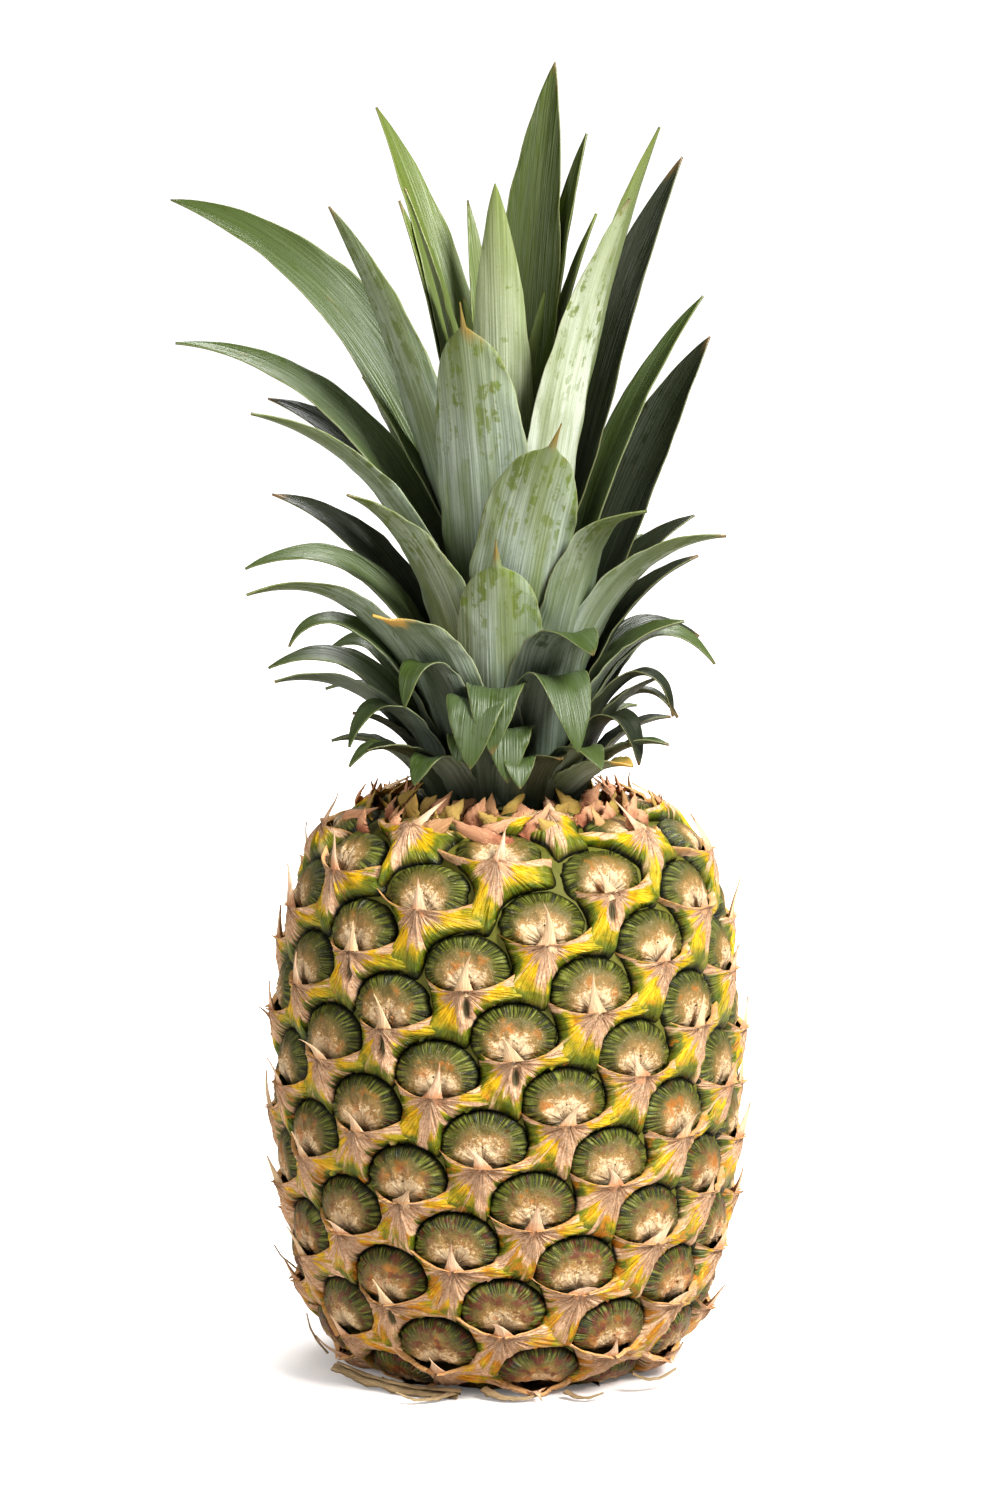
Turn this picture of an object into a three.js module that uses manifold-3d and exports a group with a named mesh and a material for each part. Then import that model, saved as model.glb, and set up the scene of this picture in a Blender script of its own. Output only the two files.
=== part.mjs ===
// A ripe pineapple standing on its cut base: one fruit, the stub of its stalk, the short stem of its crown,
// the crown's separate leaves and one dry strap left at the foot. Millimetres, +Z up, the origin at the middle
// of the flat base. Azimuth 0 is the side that faces -Y, and azimuth 90 is the side that faces +X.

import * as THREE from "three";
import { mergeVertices } from "three/addons/utils/BufferGeometryUtils.js";
import Module from "manifold-3d";

const wasm = await Module();
wasm.setup();

// ---- Driving dimensions, in millimetres and degrees -----------------------------------------------------

const GAP = 0.3;                    // clearance between pieces that touch on the real fruit
const TRIM_GAP = 0.9;               // clearance left where one leaf is trimmed to another
const MARGIN_ROOM = 2.6;            // how much more room a thin leaf margin is given than its faces
const WELD = 1e-4;                  // vertices closer than this are one vertex
const CUT_OVERRUN = 1;              // how far a cutting tool reaches past the face that it cuts
const GOLDEN_ANGLE = 137.508;       // turn from one eye, or one leaf, to the next

const BODY_PROFILE = [              // radius and height up the side of the fruit, base first
  [32, 0], [43, 4], [49.5, 10], [54, 18], [58, 32], [60.7, 47], [62.2, 61], [62.8, 75], [62.7, 89],
  [62, 103], [60.5, 117], [57.8, 132], [52.5, 145], [46, 151], [38, 154.6], [30, 156.4], [21, 157],
];
const BODY_SIDES = 52;
const BODY_RINGS = 24;
const OUTLINE_SAMPLES = 400;        // steps along the outline when the eyes are laid out
const FOOT_FLAT_DEPTH = 0.5;        // everything this close to the table stays flat
const NECK_FLAT_DEPTH = 1;          // and everything this close under the crown
const FLAT_MARGIN = 0.5;            // how far the flats reach past their own rim
const EYE_AREA = 538;               // skin taken up by one eye
const FIRST_EYE_AZIMUTH = -8.8;     // where the lowest eye of the spiral lies
const EYE_DOME = 0.9;               // how far the middle of an eye stands out
const EYE_GROOVE = 1.5;             // how deep the groove between two eyes is
const EYE_GROOVE_WIDTH = 4.5;

const STUB_RADIUS = 13;
const STUB_DEPTH = 3;

const STRAP_ROUTE = [               // the dry strap lying at the foot of the fruit, just clear of the table
  [-13, -45.5, 1.8], [-25, -43, 2], [-37, -35.5, 2.8], [-47, -26, 4.6],
];
const STRAP_WIDTH = 5;
const STRAP_THICKNESS = 1.8;
const STRAP_STEPS = 10;
const STRAP_SIDES = 8;

const STEM_FOOT = 157.3;
const STEM_TOP = 242;
const STEM_FOOT_RADIUS = 19.5;
const STEM_TOP_RADIUS = 3.5;
const STEM_SIDES = 24;

const LEAF_THICKNESS = 1.6;         // at the middle of a blade, near its foot
const LEAF_TIP_THICKNESS = 0.8;
const LEAF_TIP_WIDTH = 1.6;
const BLADE_FOOT_SHARE = 0.86;      // width at the foot, as a share of the leaf's width
const BLADE_BELLY = 0.5;            // how much the blade swells above its foot
const BLADE_TAPER = 3;              // higher keeps the blade wide for longer
const BLADE_POINT = 0.8;            // lower makes a blunter tip
const BOW_GROWTH = 1.3;             // above 1, a blade bends more towards its tip
const FOLD_SPREAD = 0.3;            // share of the length over which a tip folds down
const DEFAULT_FOLD = 0.6;           // where a tip folds down, unless the leaf says otherwise
const ROLL_END = 0.5;               // share of the length by which a blade has rolled all the way
const CLASP_END = 1 / 3;            // share of the length by which a blade has let go of the stem
const MIDRIB_SUBSTEPS = 6;
const LEAF_SIDES = 6;
const LEAF_STEPS = 7;
const FOLDED_LEAF_STEPS = 9;
const FOOT_WRAP = 62;               // half-angle of the gutter where a blade clasps the stem
const BLADE_WRAP = 30;              // half-angle of the gutter along the blade
const FOLDED_WRAP = 8;              // half-angle of the gutter beyond a fold, where the blade has opened out
const SMALLEST_DETAIL = 0.06;       // edges shorter than this are merged after a cut

// ---- The crown's leaves, from the foot of the stem up ---------------------------------------------------
// azimuth: the side of the stem that the leaf grows from. height: where it leaves the stem. length and width:
// along and across the blade. lean: its angle from upright at the foot. bow: how much further it has bent over
// at the tip. droop: the extra bend of a folded tip, which begins at the fraction fold of the length.
// sway: how far the tip swings round the stem. roll: how far the blade has turned about its own midrib.
// cut: less than 1 on a leaf whose tip is broken off.

const LEAVES = [
  { azimuth: 0, height: 159, length: 41, width: 18, lean: 4, bow: 72, droop: 100, fold: 0.45 },
  { azimuth: 60, height: 159, length: 44, width: 17, lean: 8, bow: 80, droop: 90, fold: 0.5 },
  { azimuth: -64, height: 159, length: 48, width: 17, lean: 10, bow: 84, droop: 70, fold: 0.55 },
  { azimuth: -80, height: 159, length: 60, width: 16, lean: 16, bow: 88, roll: 15 },
  { azimuth: -14, height: 160, length: 53, width: 22, lean: 2, bow: 66, droop: 108, fold: 0.45 },
  { azimuth: 80, height: 160, length: 48, width: 13, lean: 2, bow: 98, droop: 52 },
  { azimuth: 158, height: 160, length: 50, width: 17, lean: 6, bow: 84, droop: 60, fold: 0.6 },
  { azimuth: -156, height: 160, length: 54, width: 18, lean: 8, bow: 80, droop: 70, fold: 0.55 },
  { azimuth: -92, height: 160, length: 66, width: 16, lean: 12, bow: 88, droop: 20, roll: -20 },
  { azimuth: 25, height: 161, length: 62, width: 21, lean: 0, bow: 66, droop: 104, fold: 0.45 },
  { azimuth: 70, height: 160, length: 57, width: 14, lean: 2, bow: 92, droop: 80 },
  { azimuth: -118, height: 162, length: 62, width: 15, lean: 8, bow: 82, droop: 40, roll: -25 },
  { azimuth: 86, height: 163, length: 68, width: 13, lean: 0, bow: 96, droop: 50, roll: 20 },
  { azimuth: 118, height: 163, length: 66, width: 16, lean: 6, bow: 86, droop: 30, roll: 25 },
  { azimuth: -84, height: 164, length: 70, width: 14, lean: 4, bow: 92, droop: 60, fold: 0.7, roll: -20 },
  { azimuth: -6, height: 164, length: 51, width: 20, lean: 2, bow: 64, droop: 108, fold: 0.45 },
  { azimuth: -40, height: 164, length: 54, width: 16, lean: 2, bow: 74, droop: 100 },
  { azimuth: 180, height: 165, length: 70, width: 18, lean: 6, bow: 82, droop: 20 },
  { azimuth: -140, height: 167, length: 76, width: 17, lean: 6, bow: 82 },
  { azimuth: 76, height: 167, length: 55, width: 19, lean: 4, bow: 76, roll: 15 },
  { azimuth: -80, height: 167, length: 82, width: 17, lean: 8, bow: 86, droop: 14, roll: 22 },
  { azimuth: 28, height: 168, length: 58, width: 26, lean: 3, bow: 62, droop: 60 },
  { azimuth: 144, height: 169, length: 78, width: 17, lean: 8, bow: 74 },
  { azimuth: -44, height: 169, length: 58, width: 26, lean: 8, bow: 68, cut: 0.94 },
  { azimuth: 86, height: 170, length: 68, width: 16, lean: 4, bow: 64, roll: 20 },
  { azimuth: -86, height: 172, length: 88, width: 16, lean: 2, bow: 98, droop: 18, roll: -24 },
  { azimuth: -5, height: 172, length: 63, width: 25, lean: 10, bow: 13, cut: 0.9 },
  { azimuth: 66, height: 173, length: 83, width: 20, lean: 2, bow: 84, roll: -14 },
  { azimuth: -172, height: 173, length: 86, width: 20, lean: 6, bow: 66 },
  { azimuth: -122, height: 174, length: 72, width: 13, lean: 9, bow: 56, roll: -30 },
  { azimuth: -100, height: 176, length: 86, width: 16, lean: 6, bow: 72, roll: -35 },
  { azimuth: 100, height: 178, length: 70, width: 15, lean: 6, bow: 60, roll: 30 },
  { azimuth: -50, height: 178, length: 82, width: 24, lean: 1, bow: 68 },
  { azimuth: 162, height: 180, length: 96, width: 20, lean: 8, bow: 52 },
  { azimuth: -142, height: 182, length: 104, width: 18, lean: 8, bow: 50 },
  { azimuth: 45, height: 182, length: 74, width: 22, lean: 13, bow: 20, droop: 44 },
  { azimuth: 2, height: 184, length: 86, width: 28, lean: 10, bow: 18, sway: 9 },
  { azimuth: -75, height: 184, length: 106, width: 17, lean: 2, bow: 76, roll: 18 },
  { azimuth: 126, height: 184, length: 91, width: 14, lean: 17, bow: 29, roll: 30 },
  { azimuth: 110, height: 186, length: 107, width: 22, lean: 16, bow: 19, roll: 38 },
  { azimuth: -116, height: 186, length: 106, width: 15, lean: 4, bow: 76, roll: -40 },
  { azimuth: -100, height: 188, length: 134, width: 17, lean: 3, bow: 86, roll: -30 },
  { azimuth: 178, height: 192, length: 118, width: 22, lean: 5, bow: 40 },
  { azimuth: 94, height: 195, length: 109, width: 15, lean: 9, bow: 29, roll: 32 },
  { azimuth: -20, height: 198, length: 101, width: 28, lean: 8, bow: 12, cut: 0.95 },
  { azimuth: 48, height: 202, length: 126, width: 25, lean: 4, bow: 24 },
  { azimuth: -104, height: 204, length: 154, width: 22, lean: 4, bow: 74, roll: -50 },
  { azimuth: 108, height: 204, length: 135, width: 19, lean: 7, bow: 22, roll: 38 },
  { azimuth: -70, height: 206, length: 122, width: 19, lean: 8, bow: 25, roll: 28 },
  { azimuth: 72, height: 212, length: 134, width: 15, lean: 7, bow: 16, roll: -20 },
  { azimuth: -122, height: 218, length: 106, width: 12, lean: 6, bow: 18 },
  { azimuth: -8, height: 220, length: 108, width: 20, lean: 3, bow: 10 },
  { azimuth: -135, height: 222, length: 132, width: 20, lean: 6, bow: 30 },
  { azimuth: 152, height: 226, length: 134, width: 25, lean: 2, bow: 15 },
  { azimuth: -98, height: 228, length: 99, width: 15, lean: 4, bow: 18 },
  { azimuth: 125, height: 230, length: 111, width: 16, lean: 3, bow: 16 },
];

// ---- Solids and booleans --------------------------------------------------------------------------------

function toSolid(geometry) {
  const bare = geometry.clone();
  bare.deleteAttribute("normal");
  bare.deleteAttribute("uv");
  const merged = mergeVertices(bare, WELD);
  const triangles = [];
  for (let i = 0; i < merged.index.count; i += 3) {
    const [a, b, c] = [merged.index.getX(i), merged.index.getX(i + 1), merged.index.getX(i + 2)];
    if (a !== b && b !== c && c !== a) triangles.push(a, b, c);
  }
  const vertProperties = new Float32Array(merged.attributes.position.array);
  const triVerts = new Uint32Array(triangles);
  return new wasm.Manifold(new wasm.Mesh({ numProp: 3, vertProperties, triVerts }));
}

function toGeometry(solid) {
  const mesh = solid.getMesh();
  const geometry = new THREE.BufferGeometry();
  geometry.setAttribute("position", new THREE.BufferAttribute(new Float32Array(mesh.vertProperties), 3));
  geometry.setIndex(new THREE.BufferAttribute(new Uint32Array(mesh.triVerts), 1));
  geometry.computeVertexNormals();
  return geometry;
}

function largestPiece(solid) {
  const pieces = solid.decompose();
  return pieces.reduce((best, piece) => (piece.volume() > best.volume() ? piece : best));
}

function upright(geometry) {
  return geometry.rotateX(Math.PI / 2);
}

function cylinder(radius, foot, top) {
  const shape = upright(new THREE.CylinderGeometry(radius, radius, top - foot, STEM_SIDES));
  return shape.translate(0, 0, (foot + top) / 2);
}

function outward(azimuth) {
  const angle = THREE.MathUtils.degToRad(azimuth);
  return new THREE.Vector3(Math.sin(angle), -Math.cos(angle), 0);
}

function sideways(azimuth) {
  const angle = THREE.MathUtils.degToRad(azimuth);
  return new THREE.Vector3(Math.cos(angle), Math.sin(angle), 0);
}

// ---- The fruit ------------------------------------------------------------------------------------------

function bodyOutline() {
  const points = BODY_PROFILE.map(([radius, height]) => new THREE.Vector3(radius, height, 0));
  return new THREE.CatmullRomCurve3(points, false, "centripetal");
}

function eyeCentres(outline) {
  const samples = outline.getSpacedPoints(OUTLINE_SAMPLES);
  const centres = [];
  let area = 0;
  for (let i = 1; i < samples.length; i += 1) {
    const [before, here] = [samples[i - 1], samples[i]];
    area += Math.PI * (before.x + here.x) * before.distanceTo(here);
    if (area > (centres.length + 0.5) * EYE_AREA) {
      const azimuth = FIRST_EYE_AZIMUTH + centres.length * GOLDEN_ANGLE;
      centres.push(outward(azimuth).multiplyScalar(here.x).setZ(here.y));
    }
  }
  return centres;
}

function eyeRelief(point, centres) {
  const distances = centres.map((centre) => centre.distanceTo(point)).sort((a, b) => a - b);
  const fromEdge = (distances[1] - distances[0]) / EYE_GROOVE_WIDTH;
  const inGroove = Math.exp(-fromEdge * fromEdge);
  return EYE_DOME * (1 - inGroove) - EYE_GROOVE * inGroove;
}

function fruitSolid() {
  const outline = bodyOutline();
  const side = outline.getSpacedPoints(BODY_RINGS).map((point) => new THREE.Vector2(point.x, point.y));
  const [foot, neck] = [side[0], side[side.length - 1]];
  const profile = [new THREE.Vector2(0, foot.y), ...side, new THREE.Vector2(0, neck.y)];
  const body = upright(new THREE.LatheGeometry(profile, BODY_SIDES));
  const centres = eyeCentres(outline);
  const positions = body.attributes.position;
  const point = new THREE.Vector3();
  for (let i = 0; i < positions.count; i += 1) {
    point.fromBufferAttribute(positions, i);
    const radius = Math.hypot(point.x, point.y);
    const nearFlat = point.z < FOOT_FLAT_DEPTH || point.z > neck.y - NECK_FLAT_DEPTH;
    if (nearFlat && radius < foot.x + FLAT_MARGIN) continue;
    if (radius < neck.x + FLAT_MARGIN) continue;
    const stretch = 1 + eyeRelief(point, centres) / radius;
    positions.setXYZ(i, point.x * stretch, point.y * stretch, point.z);
  }
  const socket = cylinder(STUB_RADIUS + GAP, -CUT_OVERRUN, STUB_DEPTH + GAP);
  return toSolid(body).subtract(toSolid(socket));
}

function strapGeometry() {
  const section = new THREE.Shape();
  section.absellipse(0, 0, STRAP_THICKNESS / 2, STRAP_WIDTH / 2, 0, 2 * Math.PI);
  const route = new THREE.CatmullRomCurve3(STRAP_ROUTE.map((point) => new THREE.Vector3(...point)));
  const settings = { steps: STRAP_STEPS, curveSegments: STRAP_SIDES, extrudePath: route };
  return new THREE.ExtrudeGeometry(section, settings);
}

// ---- The crown ------------------------------------------------------------------------------------------

function stemRadius(height) {
  const climb = THREE.MathUtils.clamp((height - STEM_FOOT) / (STEM_TOP - STEM_FOOT), 0, 1);
  return THREE.MathUtils.lerp(STEM_FOOT_RADIUS, STEM_TOP_RADIUS, climb);
}

function stemGeometry(grow) {
  const height = STEM_TOP - STEM_FOOT + 2 * grow;
  const cone = new THREE.CylinderGeometry(STEM_TOP_RADIUS + grow, STEM_FOOT_RADIUS + grow, height, STEM_SIDES);
  return upright(cone).translate(0, 0, (STEM_FOOT + STEM_TOP) / 2);
}

function midrib(leaf, steps) {
  const { azimuth, height, length, lean, bow, droop = 0, fold = DEFAULT_FOLD, sway = 0 } = leaf;
  const swing = Math.sin(THREE.MathUtils.degToRad(sway));
  const point = outward(azimuth).multiplyScalar(stemRadius(height) + GAP + LEAF_THICKNESS).setZ(height);
  const walk = steps * MIDRIB_SUBSTEPS;
  const stations = [];
  for (let i = 0; i <= walk; i += 1) {
    const along = i / walk;
    const folded = THREE.MathUtils.smoothstep(along, fold, fold + FOLD_SPREAD);
    const tilt = THREE.MathUtils.degToRad(lean + bow * along ** BOW_GROWTH + droop * folded);
    const heading = outward(azimuth).multiplyScalar(Math.sin(tilt)).setZ(Math.cos(tilt));
    heading.addScaledVector(sideways(azimuth), 2 * swing * along).normalize();
    if (i % MIDRIB_SUBSTEPS === 0) stations.push({ point: point.clone(), heading, folded });
    point.addScaledVector(heading, length / walk);
  }
  return stations;
}

function halfWidth(leaf, along) {
  const s = along * (leaf.cut ?? 1);
  const taper = (1 - s ** BLADE_TAPER) ** BLADE_POINT;
  const shape = taper * (BLADE_FOOT_SHARE + BLADE_BELLY * s * (1 - s));
  return Math.max((leaf.width / 2) * shape, LEAF_TIP_WIDTH / 2);
}

function leafSolid(leaf, grow) {
  const steps = leaf.droop ? FOLDED_LEAF_STEPS : LEAF_STEPS;
  const stations = midrib(leaf, steps);
  const blade = new THREE.CylinderGeometry(1, 1, 1, LEAF_SIDES, steps, false, Math.PI / LEAF_SIDES);
  const corner = Math.cos(Math.PI / LEAF_SIDES);
  const positions = blade.attributes.position;
  for (let i = 0; i < positions.count; i += 1) {
    const along = 0.5 - positions.getY(i);
    const { point, heading, folded } = stations[Math.round(along * steps)];
    const roll = THREE.MathUtils.degToRad(leaf.roll ?? 0) * THREE.MathUtils.smoothstep(along, 0, ROLL_END);
    const across = sideways(leaf.azimuth).projectOnPlane(heading).normalize().applyAxisAngle(heading, roll);
    const inward = new THREE.Vector3().crossVectors(heading, across);
    const clasp = THREE.MathUtils.lerp(FOOT_WRAP, BLADE_WRAP, Math.min(1, along / CLASP_END));
    const wrap = THREE.MathUtils.degToRad(THREE.MathUtils.lerp(clasp, FOLDED_WRAP, leaf.droop ? folded : 0));
    const half = halfWidth(leaf, along);
    const radius = half / wrap;
    const turn = (positions.getX(i) * (half + MARGIN_ROOM * grow)) / radius;
    const thickness = THREE.MathUtils.lerp(LEAF_THICKNESS, LEAF_TIP_THICKNESS, along) / 2 + grow;
    const reach = radius - (positions.getZ(i) / corner) * thickness;
    const endShift = along === 0 ? -grow : along === 1 ? grow : 0;
    const place = point.clone().addScaledVector(heading, endShift);
    place.addScaledVector(across, Math.sin(turn) * reach);
    place.addScaledVector(inward, radius - Math.cos(turn) * reach);
    positions.setXYZ(i, place.x, place.y, place.z);
  }
  return toSolid(blade);
}

// Outer leaves keep their whole shape. A leaf further in is trimmed where it would press into one outside it,
// as the soft foot of a real leaf is, and every leaf is trimmed to the stem and the shoulder of the fruit.
function crownLeaves(fruit) {
  const surroundings = [fruit, toSolid(stemGeometry(GAP))];
  const placed = [];
  return LEAVES.map((leaf) => {
    let solid = leafSolid(leaf, 0);
    for (const other of [...surroundings, ...placed]) solid = solid.subtract(other);
    placed.push(leafSolid(leaf, TRIM_GAP));
    return largestPiece(solid.asOriginal().simplify(SMALLEST_DETAIL));
  });
}

// ---- Assembly -------------------------------------------------------------------------------------------

const skin = new THREE.MeshStandardMaterial({ color: 0xa98c4a, roughness: 0.75, metalness: 0 });
const leafGreen = new THREE.MeshStandardMaterial({ color: 0x6f8560, roughness: 0.6, metalness: 0 });
const core = new THREE.MeshStandardMaterial({ color: 0xcfc59a, roughness: 0.8, metalness: 0 });
const straw = new THREE.MeshStandardMaterial({ color: 0xb49a72, roughness: 0.85, metalness: 0 });

const pineapple = new THREE.Group();

function add(name, solid, material) {
  const mesh = new THREE.Mesh(toGeometry(solid), material);
  mesh.name = name;
  pineapple.add(mesh);
}

const fruit = fruitSolid();
add("fruit", fruit, skin);
add("stalk_stub", toSolid(cylinder(STUB_RADIUS, 0, STUB_DEPTH)), straw);
add("dry_strap", toSolid(strapGeometry()), straw);
add("crown_stem", toSolid(stemGeometry(0)), core);
crownLeaves(fruit).forEach((solid, index) => {
  add(`leaf_${String(index + 1).padStart(2, "0")}`, solid, leafGreen);
});

export default pineapple;
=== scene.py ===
"""A whole pineapple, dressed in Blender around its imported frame.

The frame gives every node of the fruit and its crown. This script stands finely modelled pieces in their
places: a rind of domed eyes, each under its own bract and papery spike, channelled crown leaves with a waxy
bloom, the pink bracts at the neck and the dry straw at the foot. Lengths are in millimetres until a mesh is
made, and azimuth 0 faces -Y, as in the frame.
"""

import logging
import math
from dataclasses import dataclass, field
from enum import Enum

import bpy
import numpy as np
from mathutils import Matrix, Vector

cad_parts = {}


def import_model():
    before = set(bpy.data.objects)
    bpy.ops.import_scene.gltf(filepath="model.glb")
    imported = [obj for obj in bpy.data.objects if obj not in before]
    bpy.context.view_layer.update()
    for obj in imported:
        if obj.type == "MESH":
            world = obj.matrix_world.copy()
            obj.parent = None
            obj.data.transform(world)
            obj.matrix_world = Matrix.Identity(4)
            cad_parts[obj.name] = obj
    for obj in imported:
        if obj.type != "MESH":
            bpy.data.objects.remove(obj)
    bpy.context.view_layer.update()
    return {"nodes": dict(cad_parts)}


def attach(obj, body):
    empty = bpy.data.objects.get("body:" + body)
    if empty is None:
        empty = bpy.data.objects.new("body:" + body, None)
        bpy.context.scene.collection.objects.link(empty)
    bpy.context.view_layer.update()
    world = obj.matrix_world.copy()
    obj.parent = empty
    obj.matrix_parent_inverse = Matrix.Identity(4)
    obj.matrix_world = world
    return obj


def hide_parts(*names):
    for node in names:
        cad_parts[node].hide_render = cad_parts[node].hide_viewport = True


LOG = logging.getLogger("pineapple")
MM = 0.001
BODY = "root"
GOLDEN_ANGLE = 137.508
FLOOR_CLEARANCE = 0.3
WHITE = (1.0, 1.0, 1.0, 1.0)

Socket = bpy.types.NodeSocket
Material = bpy.types.Material
Array = np.ndarray
Colour = tuple[float, float, float, float]
Point = tuple[float, float, float]
Names = tuple[str, ...]


# ---- Numbers and meshes ------------------------------------------------------------------------------------


def linear(red: int, green: int, blue: int) -> Colour:
    """Turn a display colour into the linear colour that shaders use.

    Args:
        red: red, 0 to 255.
        green: green, 0 to 255.
        blue: blue, 0 to 255.

    Returns:
        The linear colour with full alpha.
    """
    channels = [value / 255.0 for value in (red, green, blue)]
    bright = [c / 12.92 if c <= 0.04045 else ((c + 0.055) / 1.055) ** 2.4 for c in channels]
    return (bright[0], bright[1], bright[2], 1.0)


def grey(level: float) -> Colour:
    """Give a linear grey."""
    return (level, level, level, 1.0)


def smoothstep(value: Array, low: float, high: float) -> Array:
    """Ease from 0 at low to 1 at high.

    Args:
        value: the numbers to ease.
        low: where the result starts to rise.
        high: where the result reaches 1.

    Returns:
        The eased numbers.
    """
    t = np.clip((value - low) / (high - low), 0.0, 1.0)
    return t * t * (3.0 - 2.0 * t)


def hill(value: Array, middle: float, width: float) -> Array:
    """Rise smoothly to 1 at a middle, and fall away within about a width on either side."""
    return np.exp(-(((value - middle) / width) ** 2))


def wobble(value: Array, seed: float, octaves: int = 3) -> Array:
    """Give smooth pseudo-random waves along one coordinate.

    Args:
        value: the coordinate, one unit per main wave.
        seed: shifts the waves, so that each seed gives its own.
        octaves: how many finer waves are added.

    Returns:
        Waves of about -1 to 1.
    """
    total = np.zeros_like(value, dtype=float)
    for octave in range(octaves):
        pace = 1.9**octave
        total += np.sin(2 * np.pi * value * pace + seed * (12.9 + 7.7 * octave)) / pace
        total += 0.6 * np.sin(2 * np.pi * value * pace * 1.37 + seed * (4.1 + 3.3 * octave)) / pace
    return total / 2.2


def running_sum(steps: Array) -> Array:
    """Add steps up, from zero before the first to the total after the last."""
    return np.concatenate([[0.0], np.cumsum(steps)])


def unit(vectors: Array) -> Array:
    """Bring each row to length 1."""
    return vectors / np.linalg.norm(vectors, axis=1)[:, None]


def polar(azimuth: float, radius: float, height: float) -> Array:
    """Give the point at an azimuth in degrees, a radius and a height."""
    turn = math.radians(azimuth)
    return np.array([radius * math.sin(turn), -radius * math.cos(turn), height])


def grid(down: Array, across: Array) -> tuple[Array, Array]:
    """Spread two rows of numbers over a grid, the first down it and the second across it."""
    spread_down, spread_across = np.meshgrid(down, across, indexing="ij")
    return spread_down, spread_across


def grid_faces(rows: int, columns: int, closed: bool = False) -> Array:
    """Number the quads of a grid of vertices.

    Args:
        rows: vertices down the grid.
        columns: vertices across the grid.
        closed: whether the last column joins the first.

    Returns:
        One row of four vertex numbers for each quad.
    """
    across = columns if closed else columns - 1
    row, column = grid(np.arange(rows - 1), np.arange(across))
    following = (column + 1) % columns
    corners = [row * columns + column, row * columns + following]
    corners += [(row + 1) * columns + following, (row + 1) * columns + column]
    return np.stack([corner.ravel() for corner in corners], axis=1)


def widen(values: Array) -> Array:
    """Repeat the outer columns of a grid once more on each side."""
    return np.pad(values, [(0, 0)] * (values.ndim - 1) + [(1, 1)], mode="edge")


def both_faces(share: Array) -> tuple[Array, Array]:
    """Go round a thin blade, across its upper face and back along its lower one.

    Args:
        share: places across the blade, from -1 to 1.

    Returns:
        The places round the blade, and 1 for each on the upper face or -1 on the lower one.
    """
    side = np.concatenate([np.ones(len(share)), -np.ones(len(share) - 2)])
    return np.concatenate([share, share[-2:0:-1]]), side


def sections(path: Array, across: Array, outward: Array, aside: Array, deep: Array) -> Array:
    """Set cross-sections out along a path.

    Args:
        path: points along the path, one row each.
        across: the direction across each section.
        outward: the direction out of each section.
        aside: how far each vertex stands across, one row for each section.
        deep: how far each vertex stands out, one row for each section.

    Returns:
        The vertices, by section.
    """
    return path[:, None] + across[:, None] * aside[..., None] + outward[:, None] * deep[..., None]


def marks_of(first: Array, second: Array, third: Array) -> Array:
    """Stack three marks, grids or single numbers, into one row for each vertex."""
    return np.stack(np.broadcast_arrays(first, second, third), axis=-1).reshape(-1, 3).astype(float)


def stand(name: str, data: bpy.types.ID) -> bpy.types.Object:
    """Put a mesh, a lamp or a camera in the scene.

    Args:
        name: the object's name.
        data: what it shows.

    Returns:
        The object.
    """
    thing = bpy.data.objects.new(name, data)
    bpy.context.scene.collection.objects.link(thing)
    return thing


@dataclass
class Mould:
    """Collects patches of mesh, with the marks that their finish reads, and casts them as one piece."""

    name: str
    points: list[Array] = field(default_factory=list)
    quads: list[Array] = field(default_factory=list)
    marks: dict[str, list[Array]] = field(default_factory=dict)
    count: int = 0

    def add(self, points: Array, quads: Array, **marks: Array) -> None:
        """Add one patch.

        Args:
            points: vertices in millimetres, one row each.
            quads: faces, four vertex numbers each.
            marks: three numbers for each vertex, under the name that the finish reads.
        """
        self.points.append(points)
        self.quads.append(quads + self.count)
        for name, values in marks.items():
            self.marks.setdefault(name, []).append(values)
        self.count += len(points)

    def cast(self, material: Material, slot: str, *nodes: str) -> None:
        """Make the piece, smooth shaded, on the fruit's one body.

        Args:
            material: the finish.
            slot: a material slot name; not used.
            nodes: the nodes that the piece replaces.
        """
        points = np.concatenate(self.points) * MM
        quads = np.concatenate(self.quads)
        mesh = bpy.data.meshes.new(self.name)
        mesh.vertices.add(len(points))
        mesh.vertices.foreach_set("co", points.astype(np.float32).ravel())
        mesh.loops.add(quads.size)
        mesh.loops.foreach_set("vertex_index", quads.astype(np.int32).ravel())
        mesh.polygons.add(len(quads))
        mesh.polygons.foreach_set("loop_start", np.arange(0, quads.size, 4, dtype=np.int32))
        mesh.update(calc_edges=True)
        mesh.polygons.foreach_set("use_smooth", np.ones(len(quads), dtype=bool))
        for name, values in self.marks.items():
            layer = mesh.attributes.new(name, "FLOAT_VECTOR", "POINT")
            layer.data.foreach_set("vector", np.concatenate(values).astype(np.float32).ravel())
        mesh.materials.append(material)
        mesh.validate()
        piece = stand(self.name, mesh)
        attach(piece, BODY)
        if nodes:
            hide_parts(*nodes)
        LOG.info("%s: %d faces, stands for %s", self.name, len(quads), nodes or "detail")


# ---- Shader graphs -----------------------------------------------------------------------------------------


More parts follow.
